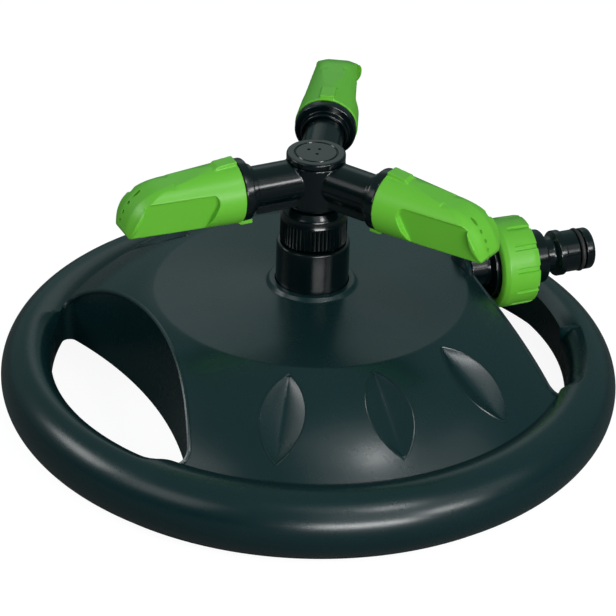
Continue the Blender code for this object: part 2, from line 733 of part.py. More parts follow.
def elbow_screws(material):
    """Makes the three screws that hold the elbow to the dome, driven from below."""
    top = EAR_BOTTOM - FIT_GAP
    profile = [
        (0.0, top - SCREW_HEAD_HEIGHT), (SCREW_HEAD_RADIUS * 0.7, top - SCREW_HEAD_HEIGHT),
        (SCREW_HEAD_RADIUS, top - SCREW_HEAD_HEIGHT * 0.5), (SCREW_HEAD_RADIUS, top),
        (SCREW_SHANK_RADIUS, top), (SCREW_SHANK_RADIUS, SCREW_TIP - 0.002), (0.0, SCREW_TIP),
    ]
    for number, frame in enumerate(screw_frames(), 1):
        screw = turned("elbow_screw", profile, TINY + 2, closed=False)
        place(f"elbow_screw_{number}", screw, material, frame)


def water_way_seals(material):
    """Makes the flat seal under the post and the O-ring on the duct's inner end."""
    flat = tube(
        "sleeve_seal", POST_FLANGE_RADIUS, CUP_CHAMBER_RADIUS + FIT_GAP,
        SLEEVE_SEAL_BOTTOM, POST_BOTTOM - FIT_GAP, ROUND,
    )
    place("sleeve_seal", flat, material)
    ring = rolled_ring(
        "duct_seal", (DUCT_GROOVE_RADIUS + DUCT_RADIUS + FIT_GAP) / 2,
        (DUCT_RADIUS - DUCT_GROOVE_RADIUS) / 2 - 0.0001, DUCT_GROOVE_START + DUCT_GROOVE_WIDTH / 2,
        SMALL, "X",
    )
    place("duct_seal", ring, material, about_post(INLET_AZIMUTH, DUCT_HEIGHT))


DUCT_REACH = HOLE_NEAR - BASE_WALL - 0.0006
DUCT_GROOVE_RADIUS = DUCT_RADIUS - 0.0009
DUCT_GROOVE_WIDTH = 0.0014
DUCT_GROOVE_START = SOCKET_END - 0.0045


# Inlet

def inlet_pipe(material):
    """Makes the inlet: a threaded mouth and stub outside the base, and a lower duct under the dome."""
    frame = about_post(INLET_AZIMUTH, INLET_HEIGHT)
    thread_start = SHOULDER_START + SHOULDER_THICKNESS
    end = thread_start + THREAD_LENGTH
    profile = [
        (0.0, STUB_START), (STUB_RADIUS, STUB_START), (STUB_RADIUS, SHOULDER_START),
        (SHOULDER_RADIUS, SHOULDER_START), (SHOULDER_RADIUS, thread_start),
        (THREAD_RADIUS - 0.0008, thread_start), (THREAD_RADIUS - 0.0008, thread_start + 0.0010),
        (THREAD_RADIUS, thread_start + 0.0014), (THREAD_RADIUS, end - 0.0008),
        (THREAD_RADIUS - 0.0008, end), (0.0, end),
    ]
    pipe = place("inlet_pipe", turned("inlet_pipe", profile, ROUND, "X", closed=False), material, frame)
    duct_profile = [
        (0.0, DUCT_END), (DUCT_RADIUS, DUCT_END), (DUCT_RADIUS, DUCT_GROOVE_START),
        (DUCT_GROOVE_RADIUS, DUCT_GROOVE_START),
        (DUCT_GROOVE_RADIUS, DUCT_GROOVE_START + DUCT_GROOVE_WIDTH),
        (DUCT_RADIUS, DUCT_GROOVE_START + DUCT_GROOVE_WIDTH),
        (DUCT_RADIUS, DUCT_REACH), (0.0, DUCT_REACH),
    ]
    lower = about_post(INLET_AZIMUTH, DUCT_HEIGHT)
    add(pipe, tool("tool_duct", turned("duct", duct_profile, SMALL, "X", closed=False), lower))
    mouth = rod("mouth", STUB_BORE_RADIUS, STUB_START + DUCT_END_WALL, end + 0.002, SMALL, "X")
    cut(pipe, tool("tool_mouth", mouth, frame))
    duct_bore = rod("duct_bore", DUCT_BORE_RADIUS, DUCT_END - 0.002, DUCT_REACH - DUCT_END_WALL, SMALL - 2, "X")
    cut(pipe, tool("tool_duct_bore", duct_bore, lower))
    return pipe


THREAD_END = SHOULDER_START + SHOULDER_THICKNESS + THREAD_LENGTH
WASHER_START = THREAD_END + FIT_GAP
NIPPLE_START = WASHER_START + WASHER_THICKNESS + FIT_GAP
NUT_START = SHOULDER_START + SHOULDER_THICKNESS + FIT_GAP
NUT_END = NUT_START + NUT_LENGTH
NUT_LIP_START = NIPPLE_START + NIPPLE_FLANGE_THICKNESS + FIT_GAP


def inlet_washer(material):
    """Makes the flat seal between the threaded mouth and the hose nipple."""
    washer = tube(
        "inlet_washer", THREAD_RADIUS - FIT_GAP, STUB_BORE_RADIUS + 0.001,
        WASHER_START, WASHER_START + WASHER_THICKNESS, ROUND, "X",
    )
    return place("inlet_washer", washer, material, about_post(INLET_AZIMUTH, INLET_HEIGHT))


def hose_nipple(material):
    """Makes the push-fit hose nipple that the union nut clamps to the inlet."""
    barrel = NIPPLE_BARREL_RADIUS
    collar_end = NIPPLE_COLLAR_START + NIPPLE_COLLAR_LENGTH
    groove_end = NIPPLE_GROOVE_START + NIPPLE_GROOVE_WIDTH
    flange_end = NIPPLE_START + NIPPLE_FLANGE_THICKNESS
    profile = [
        (NIPPLE_BORE_RADIUS, NIPPLE_START), (THREAD_RADIUS - FIT_GAP, NIPPLE_START),
        (THREAD_RADIUS - FIT_GAP, flange_end), (NIPPLE_BASE_RADIUS, flange_end),
        (NIPPLE_BASE_RADIUS, NIPPLE_BASE_END - 0.0006), (NIPPLE_BASE_RADIUS - 0.0008, NIPPLE_BASE_END),
        (NIPPLE_NECK_RADIUS + 0.0004, NIPPLE_BASE_END), (NIPPLE_NECK_RADIUS, NIPPLE_BASE_END + 0.0006),
        (NIPPLE_NECK_RADIUS, NIPPLE_COLLAR_START - 0.0016),
        (NIPPLE_COLLAR_RADIUS, NIPPLE_COLLAR_START), (NIPPLE_COLLAR_RADIUS, collar_end - 0.0005),
        (barrel, collar_end), (barrel, NIPPLE_GROOVE_START),
        (NIPPLE_GROOVE_RADIUS, NIPPLE_GROOVE_START), (NIPPLE_GROOVE_RADIUS, groove_end),
        (barrel, groove_end), (barrel, NIPPLE_TIP - NIPPLE_TIP_CHAMFER),
        (barrel - NIPPLE_TIP_CHAMFER, NIPPLE_TIP), (NIPPLE_BORE_RADIUS, NIPPLE_TIP),
    ]
    nipple = turned("hose_nipple", profile, ROUND, "X")
    return place("hose_nipple", nipple, material, about_post(INLET_AZIMUTH, INLET_HEIGHT))


def nipple_o_ring(material):
    """Makes the O-ring in the nipple's groove."""
    thickness = NIPPLE_GROOVE_WIDTH / 2 - FIT_GAP
    ring = rolled_ring(
        "nipple_o_ring", NIPPLE_GROOVE_RADIUS + FIT_GAP + thickness, thickness,
        NIPPLE_GROOVE_START + NIPPLE_GROOVE_WIDTH / 2, ROUND, "X",
    )
    return place("nipple_o_ring", ring, material, about_post(INLET_AZIMUTH, INLET_HEIGHT))


def union_nut(material):
    """Makes the fluted union nut, with a plain band towards the base and a lip that holds the nipple."""
    waves = (1.0, 0.1, 0.0, 0.0, 0.0, 0.1)
    per_flute = len(waves)
    levels = [
        (NUT_START, NUT_RADIUS - NUT_ROUNDING, 0.0),
        (NUT_START + NUT_ROUNDING * 0.25, NUT_RADIUS - NUT_ROUNDING * 0.42, 0.0),
        (NUT_START + NUT_ROUNDING, NUT_RADIUS - NUT_ROUNDING * 0.10, 0.0),
        (NUT_START + NUT_PLAIN_BAND, NUT_RADIUS, 0.0),
        (NUT_START + NUT_PLAIN_BAND + 0.0006, NUT_RADIUS, NUT_FLUTE_DEPTH),
        (NUT_END - NUT_CHAMFER, NUT_RADIUS - 0.0002, NUT_FLUTE_DEPTH),
        (NUT_END, NUT_RADIUS - 0.0002 - NUT_CHAMFER, NUT_FLUTE_DEPTH * 0.4),
    ]
    rings = []
    for x, radius, depth in levels:
        ring = []
        for step in range(NUT_FLUTES * per_flute):
            angle = math.tau * step / (NUT_FLUTES * per_flute)
            r = radius - depth * waves[step % per_flute]
            ring.append((x, r * math.cos(angle), r * math.sin(angle)))
        rings.append(ring)
    frame = about_post(INLET_AZIMUTH, INLET_HEIGHT)
    nut = place("union_nut", loft("union_nut", rings), material, frame)
    wide = rod("nut_bore", THREAD_RADIUS + THREAD_GAP, NUT_START - OVERCUT, NUT_LIP_START, ROUND, "X")
    cut(nut, tool("tool_nut_bore", wide, frame))
    narrow = rod(
        "nut_lip_bore", NIPPLE_BASE_RADIUS + FIT_GAP, NUT_LIP_START - 0.002, NUT_END + 0.002, ROUND, "X"
    )
    cut(nut, tool("tool_nut_lip_bore", narrow, frame))
    return nut


# Rotor bearing

NUT_SHANK_END = POST_NUT_SEAT + FIT_GAP
WASHER_TOP = NUT_SHANK_END - FIT_GAP
WASHER_BOTTOM = WASHER_TOP - THRUST_WASHER_THICKNESS
SPINDLE_FLANGE_TOP = WASHER_BOTTOM - FIT_GAP


def retaining_nut(material):
    """Makes the knurled nut that screws into the post and keeps the spindle in it."""
    start = POST_TOP + FIT_GAP
    band = start + KNURL_HEIGHT
    top = RETAINING_NUT_TOP
    rib_points = 2
    levels = [
        (start, KNURL_RADIUS, KNURL_DEPTH),
        (band, KNURL_RADIUS, KNURL_DEPTH),
        (band + 0.0006, KNURL_RADIUS - 0.0002, 0.0),
        (band + SHOULDER_RISE * 0.6, KNURL_RADIUS - 0.0006, 0.0),
        (top, SHOULDER_TOP_RADIUS, 0.0),
    ]
    rings = []
    for z, radius, depth in levels:
        ring = []
        for step in range(KNURL_RIBS * rib_points):
            angle = math.tau * step / (KNURL_RIBS * rib_points)
            r = radius - depth * (step % rib_points)
            ring.append((r * math.cos(angle), r * math.sin(angle), z))
        rings.append(ring)
    nut = place("retaining_nut", loft("retaining_nut", rings), material)
    shank_radius = POST_RADIUS - POST_NUT_WALL - FIT_GAP
    shank = rod("nut_shank", shank_radius, NUT_SHANK_END, start + 0.001, ROUND)
    add(nut, tool("tool_nut_shank", shank))
    bore = rod("retaining_bore", SPINDLE_RADIUS + RUNNING_GAP, NUT_SHANK_END - 0.002, top + 0.002, ROUND)
    cut(nut, tool("tool_retaining_bore", bore))
    return nut


def spindle_parts(spindle_material, washer_material, seal_material):
    """Makes the hollow spindle, the thrust washer above its flange and the seal round its foot."""
    flange_bottom = SPINDLE_FLANGE_TOP - SPINDLE_FLANGE_THICKNESS
    profile = [
        (SPINDLE_BORE_RADIUS, SPINDLE_BOTTOM), (SPINDLE_RADIUS - 0.0005, SPINDLE_BOTTOM),
        (SPINDLE_RADIUS, SPINDLE_BOTTOM + 0.0008), (SPINDLE_RADIUS, flange_bottom),
        (SPINDLE_FLANGE_RADIUS, flange_bottom), (SPINDLE_FLANGE_RADIUS, SPINDLE_FLANGE_TOP),
        (SPINDLE_RADIUS, SPINDLE_FLANGE_TOP), (SPINDLE_RADIUS, SPINDLE_TOP),
        (SPINDLE_BORE_RADIUS, SPINDLE_TOP),
    ]
    place("rotor_spindle", turned("rotor_spindle", profile, ROUND), spindle_material)
    bore = SPINDLE_RADIUS + RUNNING_GAP
    washer = tube("thrust_washer", POST_BORE_RADIUS - RUNNING_GAP, bore, WASHER_BOTTOM, WASHER_TOP, ROUND)
    place("thrust_washer", washer, washer_material)
    seat = POST_STEP_HEIGHT + FIT_GAP
    seal = tube("spindle_seal", POST_BORE_RADIUS - FIT_GAP, bore, seat, seat + SPINDLE_SEAL_THICKNESS, ROUND)
    place("spindle_seal", seal, seal_material)


# Rotor

CAP_SEAT = CAP_TOP - CAP_THICKNESS - FIT_GAP


def rotor_hub(material):
    """Makes the hub: a round body over the nut, three arms that end in spigots, and a seat for the cap."""
    profile = [
        (0.0, SKIRT_BOTTOM), (HUB_RADIUS - HUB_CHAMFER, SKIRT_BOTTOM), (HUB_RADIUS, SKIRT_BOTTOM + HUB_CHAMFER),
        (HUB_RADIUS, CAP_SEAT), (0.0, CAP_SEAT),
    ]
    hub = place("rotor_hub", turned("rotor_hub", profile, ROUND, closed=False), material)
    groove = ARM_RADIUS - SEAL_GROOVE_DEPTH
    arm_profile = [
        (0.0, 0.0015), (ARM_RADIUS, 0.0015), (ARM_RADIUS, SEAL_START), (groove, SEAL_START),
        (groove, SEAL_START + SEAL_WIDTH), (ARM_RADIUS, SEAL_START + SEAL_WIDTH),
        (ARM_RADIUS, SPIGOT_END - 0.0006), (ARM_RADIUS - 0.0006, SPIGOT_END), (0.0, SPIGOT_END),
    ]
    arm = turned("arm", arm_profile, SMALL, "X", closed=False)
    half = ARM_RIB_WIDTH / 2
    rib_start = HUB_RADIUS / 2
    rib = prism(
        "arm_rib", [(rib_start, -half), (ARM_RIB_END, -half), (ARM_RIB_END, half), (rib_start, half)],
        -ARM_RIB_DROP, -ARM_RADIUS * 0.55,
    )
    bore = rod("arm_bore", ARM_BORE_RADIUS, 0.0022, SPIGOT_END + 0.002, SMALL - 2, "X")
    for number in ARM_NUMBERS:
        frame = about_arm(number)
        add(hub, tool(f"tool_arm_{number}", arm.copy(), frame))
        add(hub, tool(f"tool_arm_rib_{number}", rib.copy(), frame))
    pocket = rod("cap_pocket", CAP_RADIUS + FIT_GAP, CAP_SEAT, CAP_TOP + OVERCUT, ROUND)
    cut(hub, tool("tool_cap_pocket", pocket))
    for number in ARM_NUMBERS:
        cut(hub, tool(f"tool_arm_bore_{number}", bore.copy(), about_arm(number)))
    seat = rod("spindle_socket", SPINDLE_RADIUS + FIT_GAP, SKIRT_BOTTOM - 0.002, SPINDLE_TOP + FIT_GAP, SMALL)
    cut(hub, tool("tool_spindle_socket", seat))
    shaft = rod("plug_hole", CAP_PLUG_RADIUS + FIT_GAP, SPINDLE_TOP - 0.002, CAP_TOP, SMALL)
    cut(hub, tool("tool_plug_hole", shaft))
    return hub


def hub_cap(material):
    """Makes the cap that closes the hub: a disc with a ring groove, three small holes and a plug."""
    bottom = CAP_TOP - CAP_THICKNESS
    inner = CAP_GROOVE_RADIUS - CAP_GROOVE_WIDTH / 2
    outer = CAP_GROOVE_RADIUS + CAP_GROOVE_WIDTH / 2
    profile = [
        (0.0, bottom - CAP_PLUG_LENGTH), (CAP_PLUG_RADIUS, bottom - CAP_PLUG_LENGTH),
        (CAP_PLUG_RADIUS, bottom), (CAP_RADIUS, bottom), (CAP_RADIUS, CAP_TOP - 0.0005),
        (CAP_RADIUS - 0.0005, CAP_TOP), (outer, CAP_TOP),
        (CAP_GROOVE_RADIUS, CAP_TOP - CAP_GROOVE_DEPTH), (inner, CAP_TOP), (0.0, CAP_TOP),
    ]
    cap = place("hub_cap", turned("hub_cap", profile, ROUND, closed=False), material)
    hole = rod("cap_hole", CAP_HOLE_RADIUS, CAP_TOP - 0.0010, CAP_TOP + 0.002, TINY)
    spots = [about_post(a) @ Matrix.Translation((r, 0, 0)) for a, r in ((143, 0.0034), (65, 0.0028), (285, 0.0014))]
    cut(cap, tool("tool_cap_holes", joined("cap_holes", [(hole, spot) for spot in spots])))
    return cap


def arm_collar(number, material):
    """Makes the collar near an arm's end, which the nozzle turns against."""
    bore = ARM_RADIUS + FIT_GAP
    neck_end = COLLAR_START + COLLAR_NECK_LENGTH
    end = neck_end + COLLAR_FLANGE_THICKNESS
    chamfer = 0.0005
    profile = [
        (bore, COLLAR_START), (COLLAR_NECK_RADIUS - chamfer, COLLAR_START),
        (COLLAR_NECK_RADIUS, COLLAR_START + chamfer), (COLLAR_NECK_RADIUS, neck_end),
        (COLLAR_FLANGE_RADIUS - chamfer, neck_end), (COLLAR_FLANGE_RADIUS, neck_end + chamfer),
        (COLLAR_FLANGE_RADIUS, end), (bore, end),
    ]
    collar = turned("arm_collar", profile, ROUND, "X")
    return place(f"arm_collar_{number}", collar, material, about_arm(number))


def nozzle_seal(number, material):
    """Makes the O-ring in a spigot's groove."""
    groove = ARM_RADIUS - SEAL_GROOVE_DEPTH
    thickness = (NOZZLE_SOCKET_RADIUS - groove) / 2 - FIT_GAP
    middle = (NOZZLE_SOCKET_RADIUS + groove) / 2
    ring = rolled_ring("nozzle_seal", middle, thickness, SEAL_START + SEAL_WIDTH / 2, SMALL, "X")
    return place(f"nozzle_seal_{number}", ring, material, about_arm(number))


# Nozzles

NOZZLE_START = COLLAR_START + COLLAR_NECK_LENGTH + COLLAR_FLANGE_THICKNESS + FIT_GAP
END_CENTRE = (NOZZLE_TIP - NOZZLE_END_RADIUS, NOZZLE_TOP_AT_TIP - NOZZLE_END_RADIUS)


def nozzle_outline(inset):
    """Returns the nozzle's side view as (x, z) points, its end moved back by an inset.

    The back rounds down to the tip in a wide arc, and the lower corner is a small one.
    """
    centre = END_CENTRE
    radius = NOZZLE_END_RADIUS - inset
    corner = NOZZLE_CORNER_RADIUS
    low = (NOZZLE_TIP - inset - corner, -NOZZLE_BOTTOM_AT_TIP + corner)
    meet = math.degrees(math.asin((low[1] - centre[1]) / radius))
    outline = [(NOZZLE_START, NOZZLE_BASE_RADIUS + 0.001), (centre[0] - 0.004, NOZZLE_TOP_AT_TIP + 0.0006)]
    outline += list(reversed(arc(centre, radius, meet, 84, 8)))
    outline += list(reversed(arc(low, corner, -90, -8, 4)))
    outline += [(NOZZLE_START, -NOZZLE_BASE_RADIUS - 0.0004)]
    return outline


def nozzle_barrel():
    """Returns the nozzle's tapered round body, before its end is shaped."""
    rings = []
    length = NOZZLE_TIP + 0.002 - NOZZLE_START
    for share in (0.0, 1.0):
        x = NOZZLE_START + length * share
        wide = NOZZLE_BASE_RADIUS + (NOZZLE_TIP_WIDTH / 2 - NOZZLE_BASE_RADIUS) * share
        top = NOZZLE_BASE_RADIUS + (NOZZLE_TOP_AT_TIP - NOZZLE_BASE_RADIUS) * share
        bottom = NOZZLE_BASE_RADIUS + (NOZZLE_BOTTOM_AT_TIP - NOZZLE_BASE_RADIUS) * share
        ring = []
        for step in range(ROUND):
            angle = math.tau * step / ROUND
            height = (top + bottom) / 2 * math.sin(angle) + (top - bottom) / 2
            ring.append((x, wide * math.cos(angle), height))
        rings.append(ring)
    return loft("nozzle_barrel", rings)


def facet_cutter(side):
    """Returns the cutter for one flat side of a nozzle, which leans in towards the bottom and the tip."""
    deep = -NOZZLE_BASE_RADIUS - 0.004
    start = (FACET_START + 0.0045, FACET_TOP - 0.0045)
    outline = [(FACET_START + 0.0045, deep)]
    outline += list(reversed(arc((start[0], start[1] - 0.0035), 0.0080, 90, 200, 6)))
    outline += [(NOZZLE_TIP - 0.0155, FACET_TOP)]
    outline += list(reversed(arc(
        (END_CENTRE[0], END_CENTRE[1] - 0.001), NOZZLE_END_RADIUS - FACET_END_MARGIN + 0.0005, -8, 52, 6
    )))
    outline += [(NOZZLE_TIP - FACET_END_MARGIN + 0.001, deep)]
    bm = bmesh.new()
    inner = []
    outer = []
    for x, z in outline:
        flat = FACET_HALF_WIDTH - FACET_TAPER * (x - FACET_START) - FACET_LEAN * (FACET_TOP - z)
        inner.append(bm.verts.new((x, side * flat, z)))
        outer.append(bm.verts.new((x, side * (NOZZLE_BASE_RADIUS + 0.004), z)))
    count = len(outline)
    for i in range(count):
        j = (i + 1) % count
        bm.faces.new((inner[i], inner[j], outer[j], outer[i]))
    bm.faces.new(inner)
    bm.faces.new(list(reversed(outer)))
    return mesh_from("facet", bm)


def jet_frames():
    """Returns the frames of the jets, which fan out from the water way to the rounded end."""
    frames = []
    source = Vector((NOZZLE_WATER_END - 0.003, -JET_OFFSET, -0.0015))
    for height in JET_HEIGHTS:
        rise = height - END_CENTRE[1]
        reach = END_CENTRE[0] + math.sqrt(max(NOZZLE_END_RADIUS ** 2 - rise ** 2, 0.0))
        angle = math.atan2(height - source.z, reach - source.x)
        frames.append(Matrix.Translation(source) @ Matrix.Rotation(-angle, 4, "Y"))
    return frames


def nozzle(number, material):
    """Makes one nozzle: a socket that becomes a flat-sided tip with jets."""
    frame = about_arm(number)
    made = place(f"nozzle_{number}", nozzle_barrel(), material, frame)
    shape = prism("nozzle_side", nozzle_outline(0.0), -0.015, 0.015, "Y")
    combine(made, tool(f"tool_nozzle_side_{number}", shape, frame), "INTERSECT")
    for side, word in ((1, "left"), (-1, "right")):
        cut(made, tool(f"tool_facet_{word}_{number}", facet_cutter(side), frame))
    low = -NOZZLE_BASE_RADIUS - TAB_DEPTH
    clear = -COLLAR_FLANGE_RADIUS - RUNNING_GAP
    back = NOZZLE_START - TAB_OVERHANG
    tab_outline = [
        (back, low), (back + TAB_LENGTH, low), (back + TAB_LENGTH, clear + 0.0015),
        (NOZZLE_START + 0.0002, clear + 0.0015), (NOZZLE_START + 0.0002, clear), (back, clear),
    ]
    tab = prism("tab", tab_outline, -TAB_WIDTH / 2, TAB_WIDTH / 2, "Y")
    add(made, tool(f"tool_tab_{number}", tab, frame))
    lug_outline = [
        (NOZZLE_START + 0.0003, NOZZLE_BASE_RADIUS - 0.002), (NOZZLE_START + LUG_LENGTH, NOZZLE_BASE_RADIUS - 0.002),
        (NOZZLE_START + LUG_LENGTH, NOZZLE_BASE_RADIUS - 0.0008),
        (NOZZLE_START + LUG_LENGTH - 0.0015, NOZZLE_BASE_RADIUS + LUG_RISE * 0.4),
        (NOZZLE_START + 0.0003, NOZZLE_BASE_RADIUS + LUG_RISE),
    ]
    lug = prism("lug", lug_outline, -LUG_WIDTH / 2, LUG_WIDTH / 2, "Y")
    add(made, tool(f"tool_lug_{number}", lug, frame))
    socket_end = SPIGOT_END + FIT_GAP
    socket = rod("nozzle_socket", NOZZLE_SOCKET_RADIUS, NOZZLE_START - 0.002, socket_end, SMALL, "X")
    cut(made, tool(f"tool_nozzle_socket_{number}", socket, frame))
    way = rod("nozzle_way", NOZZLE_WATER_RADIUS, socket_end - 0.002, NOZZLE_WATER_END, SMALL - 2, "X")
    cut(made, tool(f"tool_nozzle_way_{number}", way, frame))
    jet = rod("jet", JET_RADIUS, 0.0, 0.030, 6, "X")
    for index, place_at in enumerate(jet_frames()):
        cut(made, tool(f"tool_jet_{number}_{index}", jet.copy(), frame @ place_at))
    return made


def main():
    clear_scene()
    base_green = plastic("base_plastic", (0.016, 0.026, 0.026), 0.42)
    gloss_black = plastic("gloss_plastic", (0.008, 0.010, 0.011), 0.24)
    lime = plastic("lime_plastic", (0.085, 0.420, 0.045), 0.36)
    seal_rubber = plastic("seal_rubber", (0.012, 0.012, 0.012), 0.70)
    slide_white = plastic("slide_plastic", (0.70, 0.70, 0.67), 0.45)
    screw_steel = metal("screw_steel", (0.62, 0.62, 0.60), 0.30)

    base_shell(base_green)
    post_sleeve(gloss_black)
    riser_elbow(gloss_black)
    elbow_screws(screw_steel)
    water_way_seals(seal_rubber)
    inlet_pipe(gloss_black)
    inlet_washer(seal_rubber)
    hose_nipple(gloss_black)
    nipple_o_ring(seal_rubber)
    union_nut(lime)
    retaining_nut(gloss_black)
    spindle_parts(gloss_black, slide_white, seal_rubber)
    rotor_hub(gloss_black)
    hub_cap(gloss_black)
    for number in ARM_NUMBERS:
        arm_collar(number, gloss_black)
        nozzle_seal(number, seal_rubber)
        nozzle(number, lime)


main()
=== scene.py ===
"""Looks of the rotary lawn sprinkler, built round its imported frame.

Units are metres and +Z is up. The origin is on the ground, on the axis that the rotor spins about, and the
photographed side faces -Y. Azimuths are in degrees from +X, counter-clockwise from above.
"""

import logging
import math
from dataclasses import dataclass, field
from enum import Enum
from typing import Optional, Sequence, Union

import bpy
from mathutils import Matrix, Vector


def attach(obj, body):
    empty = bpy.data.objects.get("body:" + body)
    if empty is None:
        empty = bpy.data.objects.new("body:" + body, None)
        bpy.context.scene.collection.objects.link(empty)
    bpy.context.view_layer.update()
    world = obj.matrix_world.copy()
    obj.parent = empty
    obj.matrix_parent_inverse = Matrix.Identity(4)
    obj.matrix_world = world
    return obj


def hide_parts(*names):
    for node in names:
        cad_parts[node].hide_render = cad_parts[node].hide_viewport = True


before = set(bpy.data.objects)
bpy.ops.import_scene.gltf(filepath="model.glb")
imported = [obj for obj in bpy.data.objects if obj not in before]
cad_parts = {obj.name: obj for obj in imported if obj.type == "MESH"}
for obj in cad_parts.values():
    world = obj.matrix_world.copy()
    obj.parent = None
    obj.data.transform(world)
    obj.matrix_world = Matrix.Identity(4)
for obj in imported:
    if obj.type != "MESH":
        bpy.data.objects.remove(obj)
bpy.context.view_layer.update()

log = logging.getLogger("sprinkler")

Point = tuple[float, float]
Number = Union[float, "Signal"]
Colour = tuple[float, float, float]
Piece = bpy.types.Object
Material = bpy.types.Material

WHITE = (1.0, 1.0, 1.0)

# Distances within which points merge
WELD = 1e-6
FINE_WELD = 1e-7

# Heights that clear the base
ABOVE = 0.07
BELOW = -0.006

# Radii of the moulds' small corners
HAIR = 0.0002
FINE = 0.0003
SOFT = 0.0006


class Slot(Enum):
    """The record's material slots."""

    BASE = "base_plastic"
    BLACK = "gloss_black"
    LIME = "lime_plastic"
    RUBBER = "seal_rubber"
    SLIDE = "slide_plastic"
    STEEL = "screw_steel"


class Body(Enum):
    """The moving bodies of the frame."""

    BASE = "base"
    ADAPTER = "inlet_adapter"
    NUT = "union_nut"
    ROTOR = "rotor"


class Axis(Enum):
    """The direction that a turned piece is made along."""

    UP = "up"
    OUT = "out"


# Shader maths


class Signal:
    """A shader socket whose arithmetic adds Math nodes."""

    def __init__(self, tree: "NodeTree", socket: bpy.types.NodeSocket) -> None:
        """Wraps one output socket of a tree under construction."""
        self.tree = tree
        self.socket = socket

    def _maths(self, operation: str, first: Number, second: Number = 0.0) -> "Signal":
        """Returns the output of a new Math node."""
        return self.tree.node("ShaderNodeMath", {"operation": operation}, {0: first, 1: second})

    def __add__(self, other: Number) -> "Signal":
        """Returns self + other."""
        return self._maths("ADD", self, other)

    __radd__ = __add__

    def __sub__(self, other: Number) -> "Signal":
        """Returns self - other."""
        return self._maths("SUBTRACT", self, other)

    def __rsub__(self, other: Number) -> "Signal":
        """Returns other - self."""
        return self._maths("SUBTRACT", other, self)

    def __mul__(self, other: Number) -> "Signal":
        """Returns self * other."""
        return self._maths("MULTIPLY", self, other)

    __rmul__ = __mul__


class NodeTree:
    """A shader node tree under construction."""

    def __init__(self, tree: bpy.types.NodeTree) -> None:
        """Empties the tree."""
        self.nodes = tree.nodes
        self.links = tree.links
        self.nodes.clear()

    def node(
        self, kind: str, settings: dict, inputs: dict, output: Optional[Union[int, str]] = 0
    ) -> Optional[Signal]:
        """Adds a node.

        Args:
            kind: The node's type name.
            settings: Properties to set first.
            inputs: Values or signals by socket name or number.
            output: The output to return, or None for a node without one.

        Returns:
            The chosen output as a signal.
        """
        made = self.nodes.new(kind)
        for name, value in settings.items():
            setattr(made, name, value)
        for name, value in inputs.items():
            self.feed(made.inputs[name], value)
        return None if output is None else Signal(self, made.outputs[output])

    def feed(self, socket: bpy.types.NodeSocket, value: object) -> None:
        """Links a signal to a socket, or sets the socket's own value."""
        if isinstance(value, Signal):
            self.links.new(value.socket, socket)
        else:
            socket.default_value = value


class Finishing(NodeTree):
    """One material under construction."""

    def __init__(self, name: str) -> None:
        """Starts a material with an empty node tree."""
        self.material = bpy.data.materials.new(name)
        self.material.use_nodes = True
        super().__init__(self.material.node_tree)

    def place(self) -> Signal:
        """Returns the Object coordinates."""
        return self.node("ShaderNodeTexCoord", {}, {}, "Object")

    def noise(self, scale: float, detail: float = 2.0, roughness: float = 0.5) -> Signal:
        """Returns a noise whose features are about 1 / scale metres wide."""
        inputs = {"Vector": self.place(), "Scale": scale, "Detail": detail, "Roughness": roughness}
        return self.node("ShaderNodeTexNoise", {}, inputs, 0)

    def blend(self, factor: Number, first: object, second: object) -> Signal:
        """Returns a mix of two colours."""
        return self.node("ShaderNodeMix", {"data_type": "RGBA"}, {0: factor, 6: first, 7: second}, 2)

    def bump(self, height: Signal, depth: float) -> Signal:
        """Returns the normals of a relief of a given depth."""
        return self.node("ShaderNodeBump", {}, {"Strength": 1.0, "Distance": depth, "Height": height})

    def surface(self, inputs: dict) -> Material:
        """Adds the Principled shader, links it to the output and returns the material."""
        return self.finished(self.node("ShaderNodeBsdfPrincipled", {}, inputs))

    def finished(self, shader: Signal) -> Material:
        """Links a shader to the material's output and returns the material."""
        self.node("ShaderNodeOutputMaterial", {}, {"Surface": shader}, None)
        return self.material


def shade(colour: Sequence[float], gain: float = 1.0) -> tuple[float, float, float, float]:
    """Returns a linear colour with an alpha of 1, made lighter or darker by a gain."""
    return (*[min(channel * gain, 1.0) for channel in colour], 1.0)


@dataclass(frozen=True)
class MouldedPlastic:
    """Injection-moulded plastic: a fine skin grain, faint flow shades and a slightly uneven gloss."""

    name: str
    colour: Colour
    roughness: float
    roughness_spread: float
    grain_width: float
    grain_depth: float
    flow_width: float = 0.03
    flow_gain: float = 0.12
    specular: float = 0.5

    def make(self) -> Material:
        """Returns the material."""
        mat = Finishing(self.name)
        flow = mat.noise(1.0 / self.flow_width, 3.0)
        dark, light = shade(self.colour, 1 - self.flow_gain), shade(self.colour, 1 + self.flow_gain)
        handled = mat.noise(2.5 / self.flow_width, 4.0, 0.6)
        return mat.surface({
            "Base Color": mat.blend(flow, dark, light),
            "Roughness": self.roughness + (handled - 0.5) * self.roughness_spread,
            "Normal": mat.bump(mat.noise(1.0 / self.grain_width), self.grain_depth),
            "Specular IOR Level": self.specular,
        })


@dataclass(frozen=True)
class SealRubber:
    """Plain black rubber with a matt, slightly dusty skin."""

    name: str = "seal_rubber"
    colour: Colour = (0.012, 0.012, 0.012)
    dust_width: float = 1 / 900
    dust_depth: float = 0.00002
    dust_gain: float = 2.4
    roughness: float = 0.45
    roughness_spread: float = 0.25

    def make(self) -> Material:
        """Returns the material."""
        mat = Finishing(self.name)
        dust = mat.noise(1.0 / self.dust_width, 4.0, 0.7)
        return mat.surface({
            "Base Color": mat.blend(dust, shade(self.colour), shade(self.colour, self.dust_gain)),
            "Roughness": self.roughness + dust * self.roughness_spread,
            "Normal": mat.bump(dust, self.dust_depth),
        })


